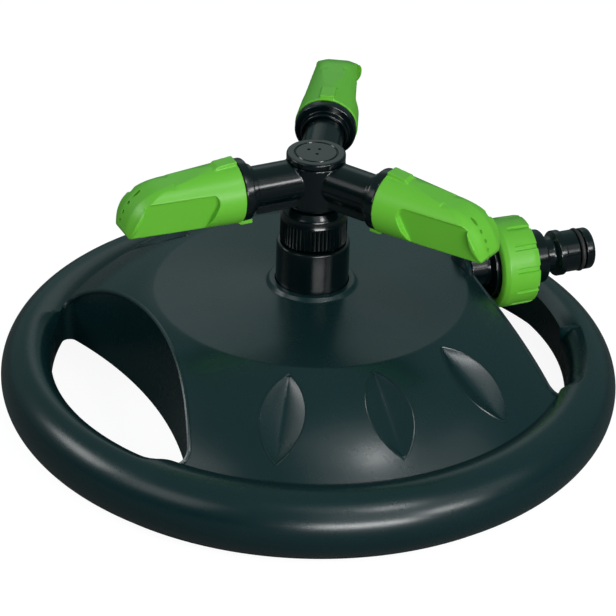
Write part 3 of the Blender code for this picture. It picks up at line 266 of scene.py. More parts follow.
@dataclass(frozen=True)
class ZincSteel:
    """Zinc-plated screw steel with faint turning marks."""

    name: str = "screw_steel"
    colour: Colour = (0.62, 0.62, 0.60)
    mark_width: float = 1 / 1400
    roughness: float = 0.22
    roughness_spread: float = 0.2

    def make(self) -> Material:
        """Returns the material."""
        mat = Finishing(self.name)
        marks = mat.noise(1.0 / self.mark_width, 3.0)
        colour = mat.blend(marks, shade(self.colour, 0.85), shade(self.colour, 1.1))
        roughness = self.roughness + marks * self.roughness_spread
        return mat.surface({"Base Color": colour, "Metallic": 1.0, "Roughness": roughness})


# Modelling


def switch(mode: str) -> None:
    """Enters edit or object mode."""
    bpy.ops.object.mode_set(mode=mode)


def deselect() -> None:
    """Deselects every object."""
    bpy.ops.object.select_all(action="DESELECT")


def choose(piece: Piece) -> Piece:
    """Makes a piece the only selected object and the active one."""
    deselect()
    piece.select_set(True)
    bpy.context.view_layer.objects.active = piece
    return piece


def edit_all() -> None:
    """Enters edit mode with everything selected."""
    switch("EDIT")
    bpy.ops.mesh.select_all(action="SELECT")


def leave_edit(weld: float = WELD) -> None:
    """Merges doubles, turns the faces outwards and goes back to object mode."""
    bpy.ops.mesh.select_all(action="SELECT")
    bpy.ops.mesh.remove_doubles(threshold=weld)
    bpy.ops.mesh.normals_make_consistent(inside=False)
    switch("OBJECT")


def settle(piece: Piece, spot: Optional[Matrix] = None) -> Piece:
    """Moves a piece to a frame and puts that place into its mesh."""
    choose(piece)
    if spot is not None:
        piece.matrix_world = spot @ piece.matrix_world
    bpy.ops.object.transform_apply(location=True, rotation=True, scale=True)
    return piece


def turned(
    name: str, profile: Sequence[Point], columns: int, axis: Axis = Axis.UP, ring: bool = False
) -> Piece:
    """Turns a profile: a circle is extruded from station to station.

    Args:
        name: The piece's name.
        profile: Points of radius and distance along the axis.
        columns: How many sides the circle has.
        axis: Whether the piece is turned about Z or about X.
        ring: Whether the last station joins the first, which makes a tube, or both ends are capped.

    Returns:
        The new piece.
    """
    radius, height = profile[0]
    deselect()
    bpy.ops.mesh.primitive_circle_add(vertices=columns, radius=radius, location=(0, 0, height))
    piece = settle(bpy.context.object)
    piece.name = name
    edit_all()
    if not ring:
        bpy.ops.mesh.edge_face_add()
    extrude = bpy.ops.mesh.extrude_edges_move if ring else bpy.ops.mesh.extrude_region_move
    stations = list(profile[1:]) + ([profile[0]] if ring else [])
    for next_radius, next_height in stations:
        extrude(TRANSFORM_OT_translate={"value": (0, 0, next_height - height)})
        scale = next_radius / radius
        bpy.ops.transform.resize(value=(scale, scale, 1.0), center_override=(0, 0, next_height))
        radius, height = next_radius, next_height
    leave_edit()
    if axis is Axis.OUT:
        settle(piece, Matrix.Rotation(math.pi / 2, 4, "Y"))
    return piece


def loop(name: str, points: Sequence[Sequence[float]]) -> Piece:
    """Adds a closed loop of edges through points."""
    deselect()
    bpy.ops.mesh.primitive_circle_add(vertices=len(points), radius=1.0)
    piece = bpy.context.object
    piece.name = name
    for vertex, point in zip(piece.data.vertices, points):
        vertex.co = point
    return piece


def slab(name: str, outline: Sequence[Point], low: float, high: float, upright: bool = False) -> Piece:
    """Extrudes a flat outline.

    Args:
        name: The piece's name.
        outline: Points of x and y, or of x and z for an upright outline.
        low: Where the piece starts along the outline's normal.
        high: Where it ends.
        upright: Whether the outline stands in the XZ plane and grows along Y.

    Returns:
        The new piece.
    """
    piece = loop(name, [(a, low, b) if upright else (a, b, low) for a, b in outline])
    edit_all()
    bpy.ops.mesh.edge_face_add()
    travel = (0, high - low, 0) if upright else (0, 0, high - low)
    bpy.ops.mesh.extrude_region_move(TRANSFORM_OT_translate={"value": travel})
    leave_edit(FINE_WELD)
    return piece


def lofted(name: str, rings: Sequence[Sequence[Vector]]) -> Piece:
    """Wraps a grid round rings of points and caps both ends.

    Args:
        name: The piece's name.
        rings: Closed loops with equal counts of points.

    Returns:
        The new piece.
    """
    across = len(rings[0]) + 1
    deselect()
    bpy.ops.mesh.primitive_grid_add(x_subdivisions=across - 1, y_subdivisions=len(rings) - 1, size=1.0)
    piece = bpy.context.object
    piece.name = name
    for index, vertex in enumerate(piece.data.vertices):
        row, column = divmod(index, across)
        vertex.co = rings[row][column % len(rings[row])]
    edit_all()
    bpy.ops.mesh.remove_doubles(threshold=FINE_WELD)
    bpy.ops.mesh.select_all(action="DESELECT")
    bpy.ops.mesh.select_mode(type="EDGE")
    bpy.ops.mesh.select_non_manifold()
    bpy.ops.mesh.fill_holes(sides=0)
    bpy.ops.mesh.select_mode(type="VERT")
    leave_edit(FINE_WELD)
    return piece


def bead(name: str, route: Sequence[Vector], radius: float, closed: bool) -> Piece:
    """Lays a fine round bead along a route.

    Args:
        name: The piece's name.
        route: The points that the bead's middle follows.
        radius: Half the bead's thickness.
        closed: Whether the route's end joins its start.

    Returns:
        The new piece.
    """
    piece = loop(name, route)
    if not closed:
        switch("EDIT")
        bpy.ops.mesh.select_all(action="DESELECT")
        bpy.ops.mesh.select_mode(type="EDGE")
        switch("OBJECT")
        for edge in piece.data.edges:
            edge.select = set(edge.vertices) == {0, len(route) - 1}
        switch("EDIT")
        bpy.ops.mesh.delete(type="EDGE")
        bpy.ops.mesh.select_mode(type="VERT")
        switch("OBJECT")
    bpy.ops.object.convert(target="CURVE")
    piece = bpy.context.object
    piece.data.bevel_depth = radius
    piece.data.bevel_resolution = 2
    piece.data.use_fill_caps = True
    bpy.ops.object.convert(target="MESH")
    return bpy.context.object


def press(piece: Piece, count: int, sector: Point, heights: Point, beyond: float, share: float) -> None:
    """Draws in a patch that repeats round an upright piece.

    Args:
        piece: The piece.
        count: How many patches there are.
        sector: Where a patch starts and ends in its sector, from 0 to 1.
        heights: Where it starts and ends along the axis.
        beyond: The radius beyond which the vertices move.
        share: What is left of their distance from the axis.
    """
    choose(piece)
    switch("EDIT")
    bpy.ops.mesh.select_all(action="DESELECT")
    switch("OBJECT")
    pitch = math.tau / count
    for vertex in piece.data.vertices:
        x, y, z = vertex.co
        place = (math.atan2(y, x) % pitch) / pitch
        in_patch = sector[0] < place < sector[1] and heights[0] < z < heights[1]
        vertex.select = in_patch and math.hypot(x, y) > beyond
    switch("EDIT")
    bpy.ops.transform.resize(value=(share, share, 1.0), center_override=(0, 0, 0))
    switch("OBJECT")


def work(target: Piece, tool: Piece, operation: str = "DIFFERENCE") -> Piece:
    """Cuts or adds a tool to a piece, and removes the tool.

    Args:
        target: The piece.
        tool: The cutting or added shape.
        operation: DIFFERENCE, UNION or INTERSECT.

    Returns:
        The piece.
    """
    choose(target)
    modifier = target.modifiers.new("shape", "BOOLEAN")
    modifier.object = tool
    modifier.operation = operation
    modifier.solver = "EXACT"
    bpy.ops.object.modifier_apply(modifier=modifier.name)
    bpy.data.objects.remove(tool)
    return target


def twin(source: Piece) -> Piece:
    """Returns a copy of a piece, with a mesh of its own."""
    made = source.copy()
    made.data = source.data.copy()
    bpy.context.scene.collection.objects.link(made)
    return made


def gathered(name: str, parts: Sequence[Piece]) -> Piece:
    """Joins several objects into one."""
    deselect()
    for part in parts:
        part.select_set(True)
    bpy.context.view_layer.objects.active = parts[0]
    bpy.ops.object.join()
    joined = bpy.context.object
    joined.name = name
    return joined


def copied(source: Piece, spots: Sequence[Matrix]) -> Piece:
    """Copies a shape to several frames, joins the copies and removes the source."""
    copies = [settle(twin(source), spot) for spot in spots]
    bpy.data.objects.remove(source)
    return gathered("copies", copies)


def fused(piece: Piece, voxel: float, smoothing: int) -> Piece:
    """Melts a piece's bodies into one skin, whose edges and corners are softened as in a mould."""
    choose(piece)
    remesh = piece.modifiers.new("skin", "REMESH")
    remesh.mode = "VOXEL"
    remesh.voxel_size = voxel
    bpy.ops.object.modifier_apply(modifier=remesh.name)
    soften = piece.modifiers.new("soften", "SMOOTH")
    soften.factor = 0.5
    soften.iterations = smoothing
    bpy.ops.object.modifier_apply(modifier=soften.name)
    return piece


def arc(centre: Point, radius: float, start: float, end: float, steps: int) -> list[Point]:
    """Returns points on a circle from one angle to another, in degrees."""
    points = []
    for step in range(steps + 1):
        angle = math.radians(start + (end - start) * step / steps)
        points.append((centre[0] + radius * math.cos(angle), centre[1] + radius * math.sin(angle)))
    return points


def rounded(profile: Sequence[tuple[float, ...]], steps: int = 4, ring: bool = False) -> list[Point]:
    """Rounds the corners of a profile.

    Args:
        profile: Points of radius and distance, with a third number where the corner has a fillet radius.
        steps: How many facets a fillet gets.
        ring: Whether the profile is closed.

    Returns:
        The profile with its fillets.
    """
    points: list[Point] = []
    count = len(profile)
    for index, corner in enumerate(profile):
        here = Vector(corner[:2])
        fillet = corner[2] if len(corner) > 2 else 0.0
        if not fillet or (not ring and index in (0, count - 1)):
            points.append((here.x, here.y))
            continue
        before = Vector(profile[index - 1][:2]) - here
        after = Vector(profile[(index + 1) % count][:2]) - here
        half = before.angle(after) / 2
        reach = min(fillet / math.tan(half), before.length * 0.49, after.length * 0.49)
        first = here + before.normalized() * reach
        last = here + after.normalized() * reach
        for step in range(steps + 1):
            share = step / steps
            bend = first.lerp(here, share).lerp(here.lerp(last, share), share)
            points.append((bend.x, bend.y))
    return points


def about_post(azimuth: float, height: float = 0.0) -> Matrix:
    """Returns a frame on the post's axis whose X runs outwards at an azimuth."""
    return Matrix.Translation((0, 0, height)) @ Matrix.Rotation(math.radians(azimuth), 4, "Z")


def finish_piece(
    piece: Piece, material: Material, body: str, nodes: Sequence[str],
    crease: float = 30.0,
) -> Piece:
    """Shades and dresses a piece and seats it on its body.

    Args:
        piece: The finished mesh, with its place in it.
        material: What it is made of.
        body: The frame's body that it rides on.
        nodes: The frame's nodes that it stands for.
        crease: The angle, in degrees, from which an edge stays sharp.

    Returns:
        The piece.
    """
    choose(piece)
    bpy.ops.object.shade_smooth_by_angle(angle=math.radians(crease))
    piece.data.materials.clear()
    piece.data.materials.append(material)
    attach(piece, body)
    if nodes:
        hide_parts(*nodes)
    log.info("%s: %d faces, rides on %s", piece.name, len(piece.data.polygons), body)
    return piece


# Sub-assemblies


@dataclass
class Base:
    """The round base: a hollow ring joined to a low dome, with two hand holes and six leaf recesses."""

    material: Material
    front: float = 292.2
    ring_radius: float = 0.115
    ring_height: float = 0.0255
    ring_width: float = 0.0188
    foot_radius: float = 0.1081
    foot_width: float = 0.0023
    valley_radius: float = 0.096
    valley_height: float = 0.024
    crease_radius: float = 0.058
    crease_height: float = 0.0482
    crease_rounding: float = 0.006
    bulge: float = 0.0032
    top_radius: float = 0.0175
    top_height: float = 0.0510
    collar_radius: float = 0.0154
    collar_height: float = 0.0016
    wall: float = 0.003
    foot_toe: float = 0.0012
    ring_roof: float = 0.006
    hub_gap: float = 0.001
    hole_spread: float = 87.1
    hole_near: float = 0.0614
    hole_arc: float = 0.162
    hole_corner: float = 0.003
    corner_margin: float = 0.8
    wall_lift: float = 0.0092
    edge_width: float = 0.0085
    edge_drop: float = 0.0088
    edge_fade: float = 7.0
    edge_least: float = 0.12
    edge_margin: float = 0.0015
    pad_half: float = 11.3
    pad_fade: float = 1.4
    lip_radius: float = 0.0009
    lip_overhang: float = 0.0004
    lip_sink: float = 0.72
    leaf_length: float = 0.036
    leaf_width: float = 0.0162
    leaf_depth: float = 0.0034
    leaf_point: float = 0.9
    leaf_ends: float = 0.75
    leaf_slope: float = 1.25
    leaf_radius: float = 0.0775
    leaf_spacing: float = 28.7
    rim_radius: float = 0.00036
    rim_gap: float = 0.0001
    rim_sink: float = 0.00008
    rib_thickness: float = 0.0022
    rib_lift: float = 0.008
    rib_start: float = 0.034
    inlet_height: float = 0.0455
    boss_radius: float = 0.0090
    boss_start: float = 0.0585
    boss_rounding: float = 0.0034
    boss_fillet: float = 0.002
    boss_tip: float = 0.4
    boss_brow: float = 0.86
    stub_hole: float = 0.0076
    post_hole: float = 0.0138
    columns: int = 288

    @property
    def ring_middle(self) -> float:
        """The radius of the ring tube's centre circle."""
        return self.ring_radius - self.ring_height / 2

    @property
    def ring_inner(self) -> float:
        """The radius of the ring's wall in the hand holes."""
        return self.ring_radius - self.ring_width

    @property
    def hole_azimuths(self) -> tuple[float, float]:
        """The azimuths of the inlet's hand hole and of the other one."""
        return self.front + self.hole_spread - 360, self.front - self.hole_spread

    def flank_circle(self) -> tuple[Vector, float, float, float]:
        """Returns the centre, radius and end angles of the dome's bulging flank."""
        top = Vector((self.crease_radius, self.crease_height))
        foot = Vector((self.valley_radius, self.valley_height))
        half = (foot - top) / 2
        radius = (half.length_squared + self.bulge ** 2) / (2 * self.bulge)
        inward = Vector((-abs(half.y), -abs(half.x))).normalized()
        centre = top + half + inward * (radius - self.bulge)
        low, high = [math.degrees(math.atan2(p.y - centre.y, p.x - centre.x)) for p in (foot, top)]
        return centre, radius, low, high

    def flank(self, depth: float, steps: int) -> list[Point]:
        """Returns points up the flank, moved inwards by a depth."""
        centre, radius, low, high = self.flank_circle()
        return arc(centre, radius - depth, low, high, steps)

    def height_at(self, radius: float) -> float:
        """Returns the height of the base's upper surface at a distance from the post."""
        if radius >= self.ring_middle:
            half = self.ring_height / 2
            return half + math.sqrt(max(half ** 2 - (radius - self.ring_middle) ** 2, 0.0))
        if radius >= self.valley_radius:
            share = (self.ring_middle - radius) / (self.ring_middle - self.valley_radius)
            return self.ring_height - (self.ring_height - self.valley_height) * share ** 2
        if radius >= self.crease_radius:
            centre, reach, _, _ = self.flank_circle()
            return centre.y + math.sqrt(reach ** 2 - (radius - centre.x) ** 2)
        share = (self.crease_radius - radius) / (self.crease_radius - self.top_radius)
        return self.crease_height + (self.top_height - self.crease_height) * min(share, 1.0)

    def outer(self) -> list[Point]:
        """Returns the outer profile, from the foot up and in to the post."""
        half = self.ring_height / 2
        flat = math.degrees(math.acos((self.foot_radius - self.ring_middle) / half))
        rim = arc((self.ring_middle, half), half, -flat, 90, 36)
        inner = []
        steps = 8
        for step in range(1, steps):
            radius = self.ring_middle + (self.valley_radius - self.ring_middle) * step / steps
            inner.append((radius, self.height_at(radius)))
        dome = rounded(
            [*self.flank(0.0, 24)[:-1], (self.crease_radius, self.crease_height, self.crease_rounding),
             (self.top_radius, self.top_height)], 6,
        )
        collar = rounded([
            dome[-1], (self.collar_radius + 0.0014, self.top_height + 0.0001, 0.0008),
            (self.collar_radius + 0.0004, self.top_height + self.collar_height, SOFT),
            (self.post_hole - 0.003, self.top_height + self.collar_height),
        ], 5)
        return [(self.foot_radius - self.foot_toe, 0.0)] + rim + inner + dome + collar[1:]

    def cavity(self) -> list[Point]:
        """Returns the profile of the hollow below, from the foot up and in to the axis."""
        foot = self.foot_radius - self.foot_width
        under = self.ring_height - self.ring_roof
        return (
            [(foot, -0.002), (foot - 0.0006, under - 0.003), (self.ring_middle, under)]
            + self.flank(self.wall, 16)
            + [(self.top_radius, self.top_height - self.wall), (self.hub_gap, self.top_height - self.wall)]
        )

    def hole_corners(self, grow: float, ring_grow: float) -> tuple[float, float, float, float, float]:
        """Returns the corner centre, the two arcs' end angles and the corner radius of a hand hole."""
        corner = self.hole_corner + grow
        far = self.hole_near + self.hole_arc
        a = self.ring_inner + ring_grow - corner
        b = self.hole_arc + grow - corner
        x = (far ** 2 + a ** 2 - b ** 2) / (2 * far)
        y = math.sqrt(a ** 2 - x ** 2)
        return x, y, math.degrees(math.atan2(y, x)), math.degrees(math.atan2(y, x - far)), corner

    def hole(self, grow: float = 0.0, ring_grow: float = 0.0) -> list[Point]:
        """Returns a hand hole's outline, pointing along +X, grown by two distances."""
        x, y, ring_angle, far_angle, corner = self.hole_corners(grow, ring_grow)
        far = (self.hole_near + self.hole_arc, 0.0)
        big = self.hole_arc + grow
        outline = arc((0.0, 0.0), self.ring_inner + ring_grow, -ring_angle, ring_angle, 72)
        outline += arc((x, y), corner, ring_angle, far_angle, 10)[1:]
        outline += arc(far, big, far_angle, 360 - far_angle, 72)[1:]
        outline += arc((x, -y), corner, 360 - far_angle, 360 - ring_angle, 10)[1:-1]
        return outline

    def dome_edge(self) -> list[Point]:
        """Returns the part of a hand hole's outline that borders the dome."""
        x, y, ring_angle, far_angle, corner = self.hole_corners(0.0, 0.0)
        far = (self.hole_near + self.hole_arc, 0.0)
        edge = arc((x, y), corner, ring_angle + 30, far_angle, 8)[:-1]
        edge += arc(far, self.hole_arc, far_angle, 360 - far_angle, 90)
        edge += arc((x, -y), corner, 360 - far_angle, 360 - ring_angle - 30, 8)[1:]
        return edge

    def edge_tool(self, start: float, end: float, fade_in: float, fade_out: float) -> Piece:
        """Returns the tool that rounds the ring's inner top edge between two angles, in degrees."""
        steps = 48
        quarter = 10
        rings = []
        for step in range(steps + 1):
            angle = start + (end - start) * step / steps
            share = min((angle - start) / fade_in, (end - angle) / fade_out, 1.0)
            size = self.edge_least + (1 - self.edge_least) * math.sin(share * math.pi / 2)
            top = self.ring_height + 0.0012
            low = self.ring_height - self.edge_drop * size
            inside = self.ring_inner - self.edge_margin
            section = [(inside, low - 0.001), (inside, top), (self.ring_inner + self.edge_width * size, top)]
            for turn in range(quarter + 1):
                bend = math.radians(90 - 90 * turn / quarter)
                section.append((
                    self.ring_inner + self.edge_width * size * (1 - math.cos(bend)),
                    low + self.edge_drop * size * math.sin(bend),
                ))
            section.append((self.ring_inner, low - 0.001))
            turn_by = math.radians(angle)
            rings.append([Vector((r * math.cos(turn_by), r * math.sin(turn_by), z)) for r, z in section])
        return lofted("edge_tool", rings)

    def leaf_spots(self) -> list[Matrix]:
        """Returns the frames of the leaf recesses, on the two closed flanks."""
        centre, radius, _, _ = self.flank_circle()
        angle = math.acos((self.leaf_radius - centre.x) / radius)
        seat = Matrix.Translation((self.leaf_radius, 0.0, centre.y + radius * math.sin(angle)))
        seat = seat @ Matrix.Rotation(math.pi / 2 - angle, 4, "Y")
        return [
            about_post(self.front + side + step * self.leaf_spacing) @ seat
            for side in (0, 180) for step in (-1, 0, 1)
        ]

    def on_surface(self, spot: Matrix, x: float, y: float, lift: float) -> Vector:
        """Returns the point over (x, y) of a leaf's frame, lifted off the base's surface."""
        low, high = -0.012, 0.012
        for _ in range(24):
            middle = (low + high) / 2
            point = spot @ Vector((x, y, middle))
            if point.z > self.height_at(math.hypot(point.x, point.y)):
                high = middle
            else:
                low = middle
        return spot @ Vector((x, y, low + lift))

    def leaf_half(self, t: float) -> float:
        """Returns half the leaf's width at a share of its length, from -1 to 1."""
        return self.leaf_width / 2 * (1 - t * t) ** self.leaf_point

    def leaf_tool(self, spot: Matrix, sink: float = 0.0, grow: float = 1.0) -> Piece:
        """Returns the tool that presses one leaf into the dome: two curved halves that meet in a crease."""
        stations = 30
        side = 9
        rings = []
        for station in range(1, stations):
            t = -1 + 2 * station / stations
            half = self.leaf_half(t) * grow
            x = t * self.leaf_length / 2 * grow
            ring = []
            for step in range(-side, side + 1):
                share = step / side
                deep = self.leaf_depth * (1 - t * t) ** self.leaf_ends * (1 - abs(share) ** self.leaf_slope)
                ring.append(self.on_surface(spot, x, half * share, -deep - sink))
            ring += [self.on_surface(spot, x, half * step / 3, 0.0015) for step in (3, 0, -3)]
            rings.append(ring)
        return lofted("leaf_tool", rings)

    def leaf_rim(self, spot: Matrix) -> Piece:
        """Returns the fine raised rim round one leaf."""
        steps = 40
        route = []
        for step in range(2 * steps):
            t = -math.cos(math.pi * step / steps)
            half = (self.leaf_half(t) + self.rim_gap) * (1 if step <= steps else -1)
            route.append(self.on_surface(spot, t * self.leaf_length / 2, half, -self.rim_sink))
        return bead("leaf_rim", route, self.rim_radius, True)

    def hollow(self) -> Piece:
        """Returns the tool that hollows the base, less the walls and ribs that stand in the hollow."""
        hollow = turned("hollow", self.cavity(), self.columns // 2)
        wall = slab("wall", self.hole(self.wall, self.wall), self.wall_lift, ABOVE)
        work(hollow, copied(wall, [about_post(a) for a in self.hole_azimuths]))
        half, near, far = self.rib_thickness / 2, self.rib_start, self.ring_middle
        corners = [(near, -half), (far, -half), (far, half), (near, half)]
        rib = slab("rib", corners, self.rib_lift, ABOVE)
        spots = [
            about_post(self.front + side + step * self.leaf_spacing)
            for side in (0, 180) for step in (-1.5, -0.5, 0.5, 1.5)
        ]
        work(hollow, copied(rib, spots))
        for spot in self.leaf_spots():
            work(hollow, self.leaf_tool(spot, self.wall, 1.12))
        return hollow

    def shell(self) -> Piece:
        """Returns the whole base moulding."""
        shell = turned("base_moulding", self.outer(), self.columns)
        far = self.boss_start + self.boss_rounding
        boss_profile = rounded([
            (self.boss_radius * self.boss_tip, self.boss_start),
            (self.boss_radius * self.boss_brow, self.boss_start + 0.001, self.boss_fillet),
            (self.boss_radius, far, self.boss_fillet), (self.boss_radius, self.hole_near + 0.004),
        ], 6)
        boss = turned("boss", boss_profile, 64, Axis.OUT)
        inlet = about_post(self.front - 270, self.inlet_height)
        work(shell, settle(boss, inlet), "UNION")
        hole = slab("hole", self.hole(), BELOW, ABOVE)
        work(shell, copied(hole, [about_post(a) for a in self.hole_azimuths]))
        end = self.hole_corners(0.0, 0.0)[2] - self.corner_margin
        inlet_side, far_side = self.hole_azimuths
        pad = self.front - 270 - inlet_side
        runs = [
            (far_side, -end, end, self.edge_fade, self.edge_fade),
            (inlet_side, -end, pad - self.pad_half, self.edge_fade, self.pad_fade),
            (inlet_side, pad + self.pad_half, end, self.pad_fade, self.edge_fade),
        ]
        for azimuth, *run in runs:
            work(shell, settle(self.edge_tool(*run), about_post(azimuth)))
        work(shell, self.hollow())
        for spot in self.leaf_spots():
            work(shell, self.leaf_tool(spot))
        bore = [(self.post_hole, self.top_height - 0.007), (self.post_hole, ABOVE)]
        work(shell, turned("post_hole", bore, 96))
        bore = turned(
            "inlet_hole", [(self.stub_hole, far), (self.stub_hole, self.hole_near + 0.006)], 64, Axis.OUT
        )
        return work(shell, settle(bore, inlet))

    def lip(self, azimuth: float) -> Piece:
        """Returns the rounded lip where the dome drops into a hand hole."""
        turn_by = about_post(azimuth)
        route = []
        for x, y in self.dome_edge():
            radius = math.hypot(x, y)
            out = 1 + self.lip_overhang / radius
            height = self.height_at(radius) - self.lip_radius * self.lip_sink
            route.append(turn_by @ Vector((x * out, y * out, height)))
        return bead("lip", route, self.lip_radius, False)

    def build(self) -> None:
        """Builds the base and seats it."""
        trim = [self.leaf_rim(spot) for spot in self.leaf_spots()]
        trim += [self.lip(azimuth) for azimuth in self.hole_azimuths]
        piece = gathered("base_moulding", [self.shell(), *trim])
        finish_piece(piece, self.material, Body.BASE.value, ["base_shell"], 28.0)


@dataclass
class Bearing:
    """The post that stands on the dome and the knurled nut that keeps the spindle in it."""

    material: Material
    post_radius: float = 0.0135
    post_foot: float = 0.0461
    post_top: float = 0.0687
    post_bore: float = 0.0093
    foot_reach: float = 0.0023
    foot_thickness: float = 0.0016
    mouth_wall: float = 0.0022
    mouth_depth: float = 0.0065
    rim_rounding: float = 0.0009
    nut_radius: float = 0.0123
    nut_start: float = 0.0690
    knurl_height: float = 0.0094
    knurl_depth: float = 0.0007
    knurl_cuts: tuple[tuple[float, Point], ...] = ((1.0, (0.30, 0.70)), (0.45, (0.14, 0.86)))
    lead: float = 0.0004
    ribs: int = 48
    shoulder_rise: float = 0.0050
    shoulder_radius: float = 0.0098
    nut_bore: float = 0.0068

    def post(self) -> Piece:
        """Returns the post."""
        foot, foot_top = self.post_radius + self.foot_reach, self.post_foot + self.foot_thickness
        mouth, mouth_floor = self.post_radius - self.mouth_wall, self.post_top - self.mouth_depth
        profile = rounded([
            (self.post_bore, self.post_foot), (foot, self.post_foot, FINE), (foot, foot_top, FINE),
            (self.post_radius, foot_top), (self.post_radius, self.post_top, self.rim_rounding),
            (mouth, self.post_top, FINE), (mouth, mouth_floor), (self.post_bore, mouth_floor),
        ], 6)
        return turned("post", profile, 128, ring=True)

    def nut(self) -> Piece:
        """Returns the knurled nut with its smooth shoulder."""
        columns = self.ribs * 6
        band = self.nut_start + self.knurl_height
        top = band + self.shoulder_rise
        levels = [
            (self.nut_bore, self.nut_start), (self.nut_radius - 2 * self.lead, self.nut_start),
            (self.nut_radius, self.nut_start + self.lead), (self.nut_radius, self.nut_start + 2 * self.lead),
            (self.nut_radius, band - 0.0006), (self.nut_radius, band),
            (self.nut_radius - 0.0001, band + self.lead),
        ]
        levels += rounded([
            (self.nut_radius - 0.0003, band + 0.0008), (self.nut_radius - 0.0006, band + 0.0030, 0.002),
            (self.shoulder_radius, top, SOFT), (self.nut_bore, top),
        ], 5)
        nut = turned("knurled_nut", levels, columns, ring=True)
        heights = (self.nut_start - 0.0001, band - self.lead)
        for part, sector in self.knurl_cuts:
            share = 1 - self.knurl_depth * part / self.nut_radius
            press(nut, self.ribs, sector, heights, self.nut_radius - 0.0016, share)
        return nut

    def build(self) -> None:
        """Builds both pieces and seats them."""
        finish_piece(self.post(), self.material, Body.BASE.value, ["post_sleeve"])
        finish_piece(self.nut(), self.material, Body.BASE.value, ["retaining_nut"], 24.0)


